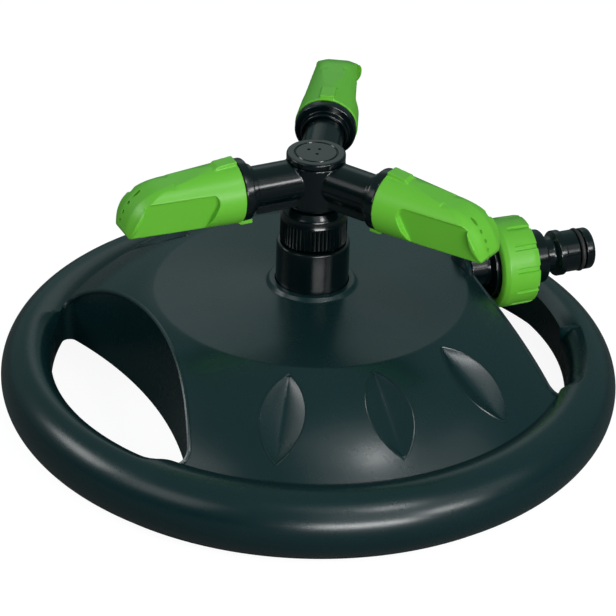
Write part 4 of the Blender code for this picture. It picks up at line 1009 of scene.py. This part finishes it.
@dataclass
class Inlet:
    """The side inlet: a threaded stub, a fluted union nut and a push-fit hose nipple."""

    black: Material
    lime: Material
    rubber: Material
    azimuth: float = 22.2
    height: float = 0.0455
    stub_start: float = 0.0622
    stub_radius: float = 0.0073
    shoulder_start: float = 0.0698
    shoulder_thickness: float = 0.0013
    shoulder_radius: float = 0.0122
    root_radius: float = 0.0119
    thread_radius: float = 0.0129
    thread_length: float = 0.0084
    nut_bore: float = 0.0136
    mouth_radius: float = 0.0050
    duct_drop: float = 0.0075
    duct_radius: float = 0.0052
    duct_bore: float = 0.0037
    duct_start: float = 0.0112
    duct_end: float = 0.0578
    nut_start: float = 0.0714
    nut_length: float = 0.0146
    nut_radius: float = 0.0169
    nut_rounding: float = 0.0024
    plain_band: float = 0.0052
    flutes: int = 12
    flute_depth: float = 0.000886
    flute_half: float = 0.12
    flute_rise: float = 0.0020
    lip_thickness: float = 0.0029
    nipple_start: float = 0.0817
    flange_thickness: float = 0.0017
    base_radius: float = 0.0102
    base_end: float = 0.0931
    neck_radius: float = 0.0068
    collar_start: float = 0.0985
    collar_length: float = 0.0030
    collar_radius: float = 0.0087
    barrel_radius: float = 0.0079
    groove_start: float = 0.1068
    groove_width: float = 0.0028
    groove_radius: float = 0.0064
    tip: float = 0.1131
    bore: float = 0.0048

    @property
    def spot(self) -> Matrix:
        """The frame on the inlet's axis."""
        return about_post(self.azimuth, self.height)

    def pipe(self) -> Piece:
        """Returns the threaded stub with the duct that runs on under the dome."""
        thread_start = self.shoulder_start + self.shoulder_thickness
        end = thread_start + self.thread_length
        profile = rounded([
            (self.mouth_radius, self.stub_start), (self.stub_radius, self.stub_start, FINE),
            (self.stub_radius, self.shoulder_start, SOFT),
            (self.shoulder_radius, self.shoulder_start, FINE),
            (self.shoulder_radius, thread_start, FINE), (self.root_radius, thread_start),
        ], 4)
        turns = 4
        for step in range(turns * 4):
            share = step / (turns * 4)
            wave = abs(math.cos(math.pi * share * turns))
            crest = self.thread_radius - (self.thread_radius - self.root_radius) * wave
            profile.append((crest, thread_start + 0.0006 + share * (self.thread_length - 0.0010)))
        profile += [(self.root_radius - 0.0004, end), (self.mouth_radius, end)]
        pipe = turned("inlet_stub", profile, 96, Axis.OUT, ring=True)
        settle(pipe, self.spot)
        duct_profile = rounded([
            (self.duct_bore, self.duct_start), (self.duct_radius, self.duct_start, FINE),
            (self.duct_radius, self.duct_end), (self.duct_bore, self.duct_end),
        ], 3)
        duct = turned("duct", duct_profile, 48, Axis.OUT, ring=True)
        settle(duct, about_post(self.azimuth, self.height - self.duct_drop))
        return gathered("inlet_stub", [pipe, duct])

    def union_nut(self) -> Piece:
        """Returns the union nut: a plain band towards the base and flutes round its outer part."""
        columns = self.flutes * 24
        end = self.nut_start + self.nut_length
        flute_start = self.nut_start + self.plain_band
        profile = [(self.nut_bore, self.nut_start)]
        profile += rounded([
            (self.nut_radius - self.nut_rounding, self.nut_start, FINE),
            (self.nut_radius - self.nut_rounding * 0.42, self.nut_start + self.nut_rounding * 0.25, 0.0010),
            (self.nut_radius, self.nut_start + self.nut_rounding, 0.0016),
            (self.nut_radius, flute_start - 0.0006),
        ], 5)
        profile += [(self.nut_radius, flute_start + step * self.flute_rise / 5) for step in range(6)]
        profile += [(self.nut_radius - 0.0001, end - 0.0030), (self.nut_radius - 0.0001, end - 0.0012)]
        profile += rounded([
            (self.nut_radius - 0.0002, end - 0.0010), (self.nut_radius - 0.0003, end, 0.0007),
            (self.base_radius + 0.0004, end),
        ], 6)
        mouth, lip = self.base_radius + FINE, end - self.lip_thickness
        profile += [(mouth, end - FINE), (mouth, lip), (self.nut_bore, lip)]
        nut = turned("fluted_nut", profile, columns, ring=True)
        sector = (0.5 - self.flute_half, 0.5 + self.flute_half)
        share = 1 - self.flute_depth / self.nut_radius
        press(nut, self.flutes, sector, (flute_start + 0.0002, math.inf), self.nut_radius - 0.0016, share)
        settle(nut, Matrix.Rotation(math.pi / 2, 4, "Y"))
        return settle(nut, self.spot)

    def nipple(self) -> Piece:
        """Returns the hose nipple."""
        collar_end = self.collar_start + self.collar_length
        groove_end = self.groove_start + self.groove_width
        flange, flange_end = self.root_radius - 0.0003, self.nipple_start + self.flange_thickness
        profile = rounded([
            (self.bore, self.nipple_start), (flange, self.nipple_start, HAIR),
            (flange, flange_end, HAIR), (self.base_radius, flange_end, HAIR),
            (self.base_radius, self.base_end, 0.0011), (self.neck_radius, self.base_end, SOFT),
            (self.neck_radius, self.collar_start - 0.0016, 0.0010),
            (self.collar_radius, self.collar_start, SOFT),
            (self.collar_radius, collar_end - 0.0002, 0.0005), (self.barrel_radius, collar_end, FINE),
            (self.barrel_radius, self.groove_start, FINE), (self.groove_radius, self.groove_start, HAIR),
            (self.groove_radius, groove_end, HAIR), (self.barrel_radius, groove_end, FINE),
            (self.barrel_radius, self.tip, 0.0011), (self.bore, self.tip, 0.0005),
        ], 5, ring=True)
        return settle(turned("nipple", profile, 96, Axis.OUT, ring=True), self.spot)

    def o_ring(self) -> Piece:
        """Returns the O-ring in the nipple's groove."""
        half = self.groove_width / 2 - 0.0006
        middle = self.groove_start + self.groove_width / 2
        profile = arc((self.groove_radius + 0.0003 + half, middle), half, 0, 345, 23)
        return settle(turned("nipple_ring", profile, 96, Axis.OUT, ring=True), self.spot)

    def build(self) -> None:
        """Builds the inlet's pieces and seats them."""
        finish_piece(self.pipe(), self.black, Body.BASE.value, ["inlet_pipe"])
        finish_piece(self.union_nut(), self.lime, Body.NUT.value, ["union_nut"], 32.0)
        finish_piece(self.nipple(), self.black, Body.ADAPTER.value, ["hose_nipple"])
        finish_piece(self.o_ring(), self.rubber, Body.ADAPTER.value, ["nipple_o_ring"])


@dataclass
class Rotor:
    """The spinning hub with its three arms, cap and collars."""

    material: Material
    arm_height: float = 0.0950
    azimuths: tuple[float, float, float] = (205.9, 325.9, 83.9)
    rises: tuple[float, float, float] = (0.0, 0.0, 7.5)
    hub_bottom: float = 0.0846
    hub_radius: float = 0.0108
    socket_radius: float = 0.0067
    socket_end: float = 0.0918
    cap_radius: float = 0.0108
    cap_thickness: float = 0.0023
    plug_radius: float = 0.0042
    plug_length: float = 0.0040
    cap_top: float = 0.1044
    cap_groove: float = 0.0077
    cap_groove_width: float = 0.0008
    cap_groove_depth: float = 0.0005
    cap_holes: tuple[Point, ...] = ((143, 0.0034), (65, 0.0028), (285, 0.0014))
    cap_hole_radius: float = 0.00062
    arm_radius: float = 0.0075
    spigot_end: float = 0.0414
    rib_width: float = 0.0105
    rib_low: float = -0.0088
    rib_high: float = -0.0041
    rib_end: float = 0.0252
    collar_start: float = 0.0258
    collar_neck: float = 0.0088
    collar_neck_length: float = 0.0026
    flange_radius: float = 0.0114
    flange_thickness: float = 0.0035
    voxel: float = 0.00034
    fit: float = 0.0003
    wall: float = 0.0020

    def arm(self, number: int) -> Matrix:
        """Returns the frame at the hub's middle whose X runs along an arm, counted from 1."""
        rise = Matrix.Rotation(math.radians(-self.rises[number - 1]), 4, "Y")
        return about_post(self.azimuths[number - 1], self.arm_height) @ rise

    def hub(self) -> Piece:
        """Returns the hub: a round body and three ribbed arms, melted together."""
        seat = self.cap_top - self.cap_thickness - self.fit
        core = rounded([
            (self.hub_radius - self.wall, self.hub_bottom), (self.hub_radius, self.hub_bottom, SOFT),
            (self.hub_radius, seat, FINE), (self.hub_radius - self.wall, seat),
        ], 5)
        parts = [turned("core", core, 96)]
        for number in (1, 2, 3):
            profile = rounded([
                (self.arm_radius, 0.0015), (self.arm_radius, self.spigot_end, SOFT),
                (self.arm_radius - 0.0015, self.spigot_end),
            ], 3)
            arm = turned("arm", profile, 64, Axis.OUT)
            half, low, high = self.rib_width / 2, self.rib_low, self.rib_high
            corners = [(-half, low), (half, low), (half, high), (-half, high)]
            rib = slab("rib", corners, self.hub_radius / 2, self.rib_end)
            settle(rib, Matrix(((0, 0, 1, 0), (1, 0, 0, 0), (0, 1, 0, 0), (0, 0, 0, 1))))
            parts += [settle(arm, self.arm(number)), settle(rib, self.arm(number))]
        hub = fused(gathered("hub", parts), self.voxel, 3)
        pocket = self.cap_radius + self.fit
        work(hub, turned("pocket", [(pocket, seat), (pocket, self.cap_top + 0.0076)], 96))
        mouth = [(self.socket_radius, self.hub_bottom - 0.0046), (self.socket_radius, self.socket_end)]
        return work(hub, turned("socket", mouth, 64))

    def cap(self) -> Piece:
        """Returns the cap: a disc with a ring groove, three small holes and a plug."""
        bottom = self.cap_top - self.cap_thickness
        inner = self.cap_groove - self.cap_groove_width / 2
        outer = self.cap_groove + self.cap_groove_width / 2
        profile = rounded([
            (self.plug_radius, bottom - self.plug_length), (self.plug_radius, bottom),
            (self.cap_radius, bottom, FINE),
            (self.cap_radius, self.cap_top, 0.0008), (outer, self.cap_top, HAIR),
            (self.cap_groove, self.cap_top - self.cap_groove_depth, HAIR), (inner, self.cap_top, HAIR),
            (0.0030, self.cap_top - 0.0001), (0.0002, self.cap_top - 0.0001),
        ], 5)
        cap = turned("cap", profile, 96)
        hole = [(self.cap_hole_radius, self.cap_top - 0.0014), (self.cap_hole_radius, self.cap_top + 0.002)]
        for azimuth, radius in self.cap_holes:
            spot = about_post(azimuth) @ Matrix.Translation((radius, 0, 0))
            work(cap, settle(turned("drill", hole, 20), spot))
        return cap

    def collar(self, number: int) -> Piece:
        """Returns the collar that a nozzle turns against."""
        bore = self.arm_radius + self.fit
        neck_end = self.collar_start + self.collar_neck_length
        end = neck_end + self.flange_thickness
        profile = rounded([
            (bore, self.collar_start), (self.collar_neck, self.collar_start, SOFT),
            (self.collar_neck, neck_end, 0.0005), (self.flange_radius, neck_end, 0.0007),
            (self.flange_radius, end, 0.0004), (bore, end),
        ], 5)
        return settle(turned(f"collar_{number}", profile, 96, Axis.OUT, ring=True), self.arm(number))

    def build(self) -> None:
        """Builds the rotor's pieces and seats them."""
        rotor = Body.ROTOR.value
        finish_piece(self.hub(), self.material, rotor, ["rotor_hub"], 40.0)
        finish_piece(self.cap(), self.material, rotor, ["hub_cap"])
        for number in (1, 2, 3):
            finish_piece(self.collar(number), self.material, rotor, [f"arm_collar_{number}"])


@dataclass
class Nozzle:
    """One lime nozzle: a round socket that flattens at the sides towards a rounded, drilled end."""

    material: Material
    rotor: Rotor
    start: float = 0.0322
    base_radius: float = 0.01175
    tip: float = 0.0762
    tip_width: float = 0.0164
    top_at_tip: float = 0.0086
    bottom_at_tip: float = 0.0104
    end_radius: float = 0.0175
    corner: float = 0.0050
    socket_radius: float = 0.0086
    socket_end: float = 0.0417
    facet_start: float = 0.0422
    facet_top: float = 0.0048
    facet_lean: float = 0.20
    facet_taper: float = 0.088
    facet_half: float = 0.0096
    facet_outline: tuple[tuple[float, ...], ...] = (
        (0.0492, -0.01575), (0.0446, -0.0050, 0.003), (0.0422, 0.0014, 0.0034), (0.0432, 0.0048, 0.0034),
        (0.0694, 0.0045, 0.0016), (0.0748, -0.0104, 0.001), (0.0756, -0.01575),
    )
    jet_radius: float = 0.0007
    jet_side: float = -0.0020
    jet_heights: tuple[float, ...] = (0.0050, 0.0020, -0.0012, -0.0043, -0.0072)
    tab_length: float = 0.0046
    tab_overhang: float = 0.0067
    tab_width: float = 0.0042
    tab_depth: float = 0.0018
    lug_length: float = 0.0092
    lug_width: float = 0.0055
    lug_rise: float = 0.0012
    voxel: float = 0.00026
    squareness: float = 0.95
    nose_set_back: float = 0.0011
    nose_flat: float = 0.0030
    nose_shoulder: float = 0.0085
    slot_stretch: float = 2.4
    jet_source: Point = (0.057, -0.0015)
    margin: float = 0.002

    @property
    def end_centre(self) -> Point:
        """The centre of the end's wide arc, in side view."""
        return self.tip - self.end_radius, self.top_at_tip - self.end_radius

    def barrel(self) -> Piece:
        """Returns the tapered body, whose round section grows squarer towards the tip."""
        rings = []
        stations = 12
        columns = 96
        reach = self.tip + self.margin - self.start
        for station in range(stations + 1):
            share = station / stations
            wide = self.base_radius + (self.tip_width / 2 - self.base_radius) * share
            top = self.base_radius + (self.top_at_tip - self.base_radius) * share
            bottom = self.base_radius + (self.bottom_at_tip - self.base_radius) * share
            power = 1 - (1 - self.squareness) * share
            ring = []
            for step in range(columns):
                angle = math.tau * step / columns
                across = math.copysign(abs(math.cos(angle)) ** power, math.cos(angle))
                up = math.copysign(abs(math.sin(angle)) ** power, math.sin(angle))
                ring.append(Vector((
                    self.start + reach * share, wide * across, (top + bottom) / 2 * up + (top - bottom) / 2,
                )))
            rings.append(ring)
        return lofted("barrel", rings)

    def side_view(self) -> list[Point]:
        """Returns the outline that rounds the nozzle's end."""
        centre = self.end_centre
        low = (self.tip - self.corner, -self.bottom_at_tip + self.corner)
        meet = math.degrees(math.asin((low[1] - centre[1]) / self.end_radius))
        outline = [(self.start, self.base_radius + 0.001), (centre[0] - 0.004, self.top_at_tip + SOFT)]
        outline += list(reversed(arc(centre, self.end_radius, meet, 84, 32)))
        outline += list(reversed(arc(low, self.corner, -90, -8, 12)))
        outline += [(self.start, -self.base_radius - 0.0004)]
        return outline

    def facet(self, side: int) -> Piece:
        """Returns the tool for one flat side, which leans in towards the bottom and the tip."""
        inner = []
        outer = []
        for x, z in rounded(self.facet_outline, 6):
            flat = self.facet_half - self.facet_taper * (x - self.facet_start)
            flat -= self.facet_lean * (self.facet_top - z)
            inner.append(Vector((x, side * flat, z)))
            outer.append(Vector((x, side * (self.base_radius + 2 * self.margin), z)))
        return lofted("facet", [inner, outer])

    def nose(self, side: int) -> Piece:
        """Returns the tool that sets one side of the end back, which leaves the jets on a rounded nose."""
        stations = 14
        widest = self.base_radius + self.margin
        rings = []
        for station in range(stations + 1):
            across = self.nose_flat + (widest - self.nose_flat) * (station / stations) ** 2
            share = min((across - self.nose_flat) / (self.nose_shoulder - self.nose_flat), 1.0)
            back = self.nose_set_back * math.sin(share * math.pi / 2) ** 2
            inner = arc(self.end_centre, self.end_radius - back + 0.00002, -48, 96, 36)
            outer = arc(self.end_centre, self.end_radius + 3 * self.margin, 96, -48, 36)
            rings.append([Vector((x, side * across, z)) for x, z in inner + outer])
        return lofted("nose", rings)

    def jets(self) -> list[Matrix]:
        """Returns the frames of the jets, which fan out to the rounded end."""
        spots = []
        source = Vector((self.jet_source[0], self.jet_side, self.jet_source[1]))
        for height in self.jet_heights:
            rise = height - self.end_centre[1]
            reach = self.end_centre[0] + math.sqrt(max(self.end_radius ** 2 - rise ** 2, 0.0))
            angle = math.atan2(height - source.z, reach - source.x)
            spots.append(Matrix.Translation(source) @ Matrix.Rotation(-angle, 4, "Y"))
        return spots

    def body(self) -> Piece:
        """Returns the nozzle along +X, before it goes to its arm."""
        made = self.barrel()
        wide = self.base_radius + 2 * self.margin
        work(made, slab("side", self.side_view(), -wide, wide, upright=True), "INTERSECT")
        for side in (1, -1):
            work(made, self.facet(side))
            work(made, self.nose(side))
        clear = -self.rotor.flange_radius - 0.0004
        low = -self.base_radius - self.tab_depth
        back = self.start - self.tab_overhang
        tab = slab("tab", [
            (back, low), (back + self.tab_length, low), (self.start + 0.0016, clear + 0.0010),
            (self.start + 0.0002, clear + 0.0015), (self.start + 0.0002, clear), (back, clear),
        ], -self.tab_width / 2, self.tab_width / 2, upright=True)
        near, far, deep = self.start + FINE, self.start + self.lug_length, self.base_radius - self.margin
        lug = slab("lug", [
            (near, deep), (far, deep), (far, self.base_radius - 0.0008),
            (far - 0.0015, self.base_radius + self.lug_rise * 0.4), (near, self.base_radius + self.lug_rise),
        ], -self.lug_width / 2, self.lug_width / 2, upright=True)
        made = fused(gathered("nozzle", [made, tab, lug]), self.voxel, 8)
        socket = [(self.socket_radius, self.start - 0.006), (self.socket_radius, self.socket_end)]
        work(made, turned("socket", socket, 96, Axis.OUT))
        for index, spot in enumerate(self.jets()):
            drill = turned("drill", [(self.jet_radius, 0.0), (self.jet_radius, 0.030)], 20, Axis.OUT)
            if index == 0:
                drill.scale.z = self.slot_stretch
            work(made, settle(drill, spot))
        return made

    def build(self) -> None:
        """Builds the three nozzles and seats each on its own body."""
        pattern = self.body()
        for number in (1, 2, 3):
            made = settle(twin(pattern), self.rotor.arm(number))
            made.name = f"lime_nozzle_{number}"
            finish_piece(made, self.material, f"nozzle_{number}", [f"nozzle_{number}"], 50.0)
        bpy.data.objects.remove(pattern)


# Studio


@dataclass
class Softbox:
    """One soft studio lamp, aimed at the object."""

    name: str
    azimuth: float
    elevation: float
    width: float
    height: float
    watts: float
    distance: float = 1.1

    def build(self, aim: Vector) -> None:
        """Adds the lamp."""
        around, up = math.radians(self.azimuth), math.radians(self.elevation)
        way = Vector((math.cos(around) * math.cos(up), math.sin(around) * math.cos(up), math.sin(up)))
        lamp = bpy.data.lights.new(self.name, "AREA")
        lamp.shape = "RECTANGLE"
        lamp.size, lamp.size_y = self.width, self.height
        lamp.energy = self.watts
        holder = bpy.data.objects.new(self.name, lamp)
        holder.location = aim + way * self.distance
        holder.rotation_euler = (-way).to_track_quat("-Z", "Y").to_euler()
        bpy.context.scene.collection.objects.link(holder)


@dataclass
class Studio:
    """The pale floor, the soft lamps and the camera at the photograph's viewing angle."""

    elevation: float = 29.995
    roll: float = 1.979
    distance: float = 1.2
    target: tuple[float, float, float] = (-0.001034, 0.0, 0.039252)
    focal_pixels: float = 3233.16
    picture_width: int = 616
    sensor: float = 36.0
    floor_size: float = 12.0
    sky_level: float = 0.080
    sky_back: float = 0.15
    sky_top: float = 0.18
    sky_tint: Colour = (0.62, 1.0, 0.98)
    floor_whiteness: float = 0.80
    floor_glow: float = 1.15
    floor_bounce: Colour = (0.16, 0.16, 0.16)
    floor_paper: Colour = (0.95, 0.95, 0.95)
    lamps: list[Softbox] = field(default_factory=lambda: [
        Softbox("front_strip", 290.0, 13.0, 0.62, 0.16, 6.6),
        Softbox("right_strip", 320.0, 22.0, 0.28, 0.18, 2.0),
        Softbox("left_box", 177.0, 33.0, 0.46, 0.26, 2.4),
        Softbox("left_front", 217.0, 36.0, 0.55, 0.40, 1.0),
        Softbox("top_box", 300.0, 62.0, 0.55, 0.42, 0.6),
        Softbox("front_box", 298.0, 38.0, 0.62, 0.40, 0.8),
        Softbox("small_box", 310.0, 54.0, 0.14, 0.14, 1.3),
        Softbox("right_box", 338.0, 36.0, 0.62, 0.40, 0.5),
        Softbox("back_box", 98.0, 34.0, 0.62, 0.40, 0.3),
    ])

    def camera(self) -> None:
        """Adds the camera."""
        up_by, roll = math.radians(self.elevation), math.radians(self.roll)
        level = Vector((1, 0, 0))
        upward = Vector((0, math.sin(up_by), math.cos(up_by)))
        back = Vector((0, -math.cos(up_by), math.sin(up_by)))
        right = math.cos(roll) * level + math.sin(roll) * upward
        up = -math.sin(roll) * level + math.cos(roll) * upward
        data = bpy.data.cameras.new("camera")
        data.sensor_width = self.sensor
        data.lens = self.focal_pixels * self.sensor / self.picture_width
        data.clip_end = 50.0
        camera = bpy.data.objects.new("camera", data)
        place = Matrix((right, up, back)).transposed().to_4x4()
        place.translation = Vector(self.target) + back * self.distance
        camera.matrix_world = place
        bpy.context.scene.collection.objects.link(camera)
        bpy.context.scene.camera = camera

    def floor(self) -> None:
        """Adds the floor, which looks almost white to the camera and keeps a soft shadow."""
        deselect()
        bpy.ops.mesh.primitive_plane_add(size=self.floor_size, location=(0, 0, 0))
        floor = bpy.context.object
        floor.name = "floor"
        mat = Finishing("pale_floor")
        rays = mat.node("ShaderNodeLightPath", {}, {}, "Is Camera Ray")
        tone = mat.blend(rays, shade(self.floor_bounce), shade(self.floor_paper))
        paper = mat.node("ShaderNodeBsdfDiffuse", {}, {"Color": tone})
        glow = mat.node("ShaderNodeEmission", {}, {"Color": shade(WHITE), "Strength": self.floor_glow})
        mixed = mat.node("ShaderNodeMixShader", {}, {0: rays * self.floor_whiteness, 1: paper, 2: glow})
        floor.data.materials.append(mat.finished(mixed))

    def sky(self) -> None:
        """Adds the dim studio round the object, lighter behind and above, which the camera sees as white."""
        world = bpy.data.worlds.new("studio")
        bpy.context.scene.world = world
        world.use_nodes = True
        air = NodeTree(world.node_tree)
        heading = air.node("ShaderNodeTexCoord", {}, {}, "Generated")
        back = air.node("ShaderNodeSeparateXYZ", {}, {0: heading}, "Y")
        up = air.node("ShaderNodeSeparateXYZ", {}, {0: heading}, "Z")
        level = air.node("ShaderNodeMath", {"operation": "MAXIMUM"}, {
            0: back * self.sky_back + up * self.sky_top + self.sky_level, 1: 0.0,
        })
        soft = air.node("ShaderNodeBackground", {}, {"Color": shade(self.sky_tint), "Strength": level})
        white = air.node("ShaderNodeBackground", {}, {"Color": shade(WHITE)})
        rays = air.node("ShaderNodeLightPath", {}, {}, "Is Camera Ray")
        mixed = air.node("ShaderNodeMixShader", {}, {0: rays, 1: soft, 2: white})
        air.node("ShaderNodeOutputWorld", {}, {"Surface": mixed}, None)

    def build(self) -> None:
        """Builds the studio."""
        self.camera()
        self.floor()
        self.sky()
        for lamp in self.lamps:
            lamp.build(Vector(self.target))
        bpy.context.scene.view_settings.view_transform = "Standard"


HIDDEN_NODES = {
    Slot.BLACK: ("riser_elbow", "rotor_spindle"),
    Slot.RUBBER: (
        "sleeve_seal", "duct_seal", "inlet_washer", "spindle_seal",
        "nozzle_seal_1", "nozzle_seal_2", "nozzle_seal_3",
    ),
    Slot.SLIDE: ("thrust_washer",),
    Slot.STEEL: ("elbow_screw_1", "elbow_screw_2", "elbow_screw_3"),
}


def dress_nodes(finishes: dict[Slot, Material]) -> None:
    """Gives the frame's own inner pieces their finish."""
    for slot, names in HIDDEN_NODES.items():
        for name in names:
            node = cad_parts[name]
            node.data.materials.clear()
            node.data.materials.append(finishes[slot])
            log.info("%s keeps its own shape", name)


def main() -> None:
    """Builds the object and its studio."""
    logging.basicConfig(level=logging.INFO, format="%(message)s")
    finishes = {
        Slot.BASE: MouldedPlastic(
            "base_plastic", (0.0030, 0.0170, 0.0195), 0.27, 0.06, 0.0004, 0.0000015,
        ).make(),
        Slot.BLACK: MouldedPlastic(
            "gloss_black", (0.0008, 0.0040, 0.0048), 0.19, 0.06, 0.0004, 0.0000015,
        ).make(),
        Slot.LIME: MouldedPlastic(
            "lime_plastic", (0.143, 0.520, 0.038), 0.36, 0.08, 0.0005, 0.000002, 0.02, 0.04, 0.4,
        ).make(),
        Slot.RUBBER: SealRubber().make(),
        Slot.SLIDE: MouldedPlastic("slide_plastic", (0.70, 0.70, 0.67), 0.45, 0.06, 0.0004, 0.000004).make(),
        Slot.STEEL: ZincSteel().make(),
    }
    dress_nodes(finishes)
    Base(finishes[Slot.BASE]).build()
    Bearing(finishes[Slot.BLACK]).build()
    Inlet(finishes[Slot.BLACK], finishes[Slot.LIME], finishes[Slot.RUBBER]).build()
    rotor = Rotor(finishes[Slot.BLACK])
    rotor.build()
    Nozzle(finishes[Slot.LIME], rotor).build()
    Studio().build()


if __name__ == "__main__":
    main()
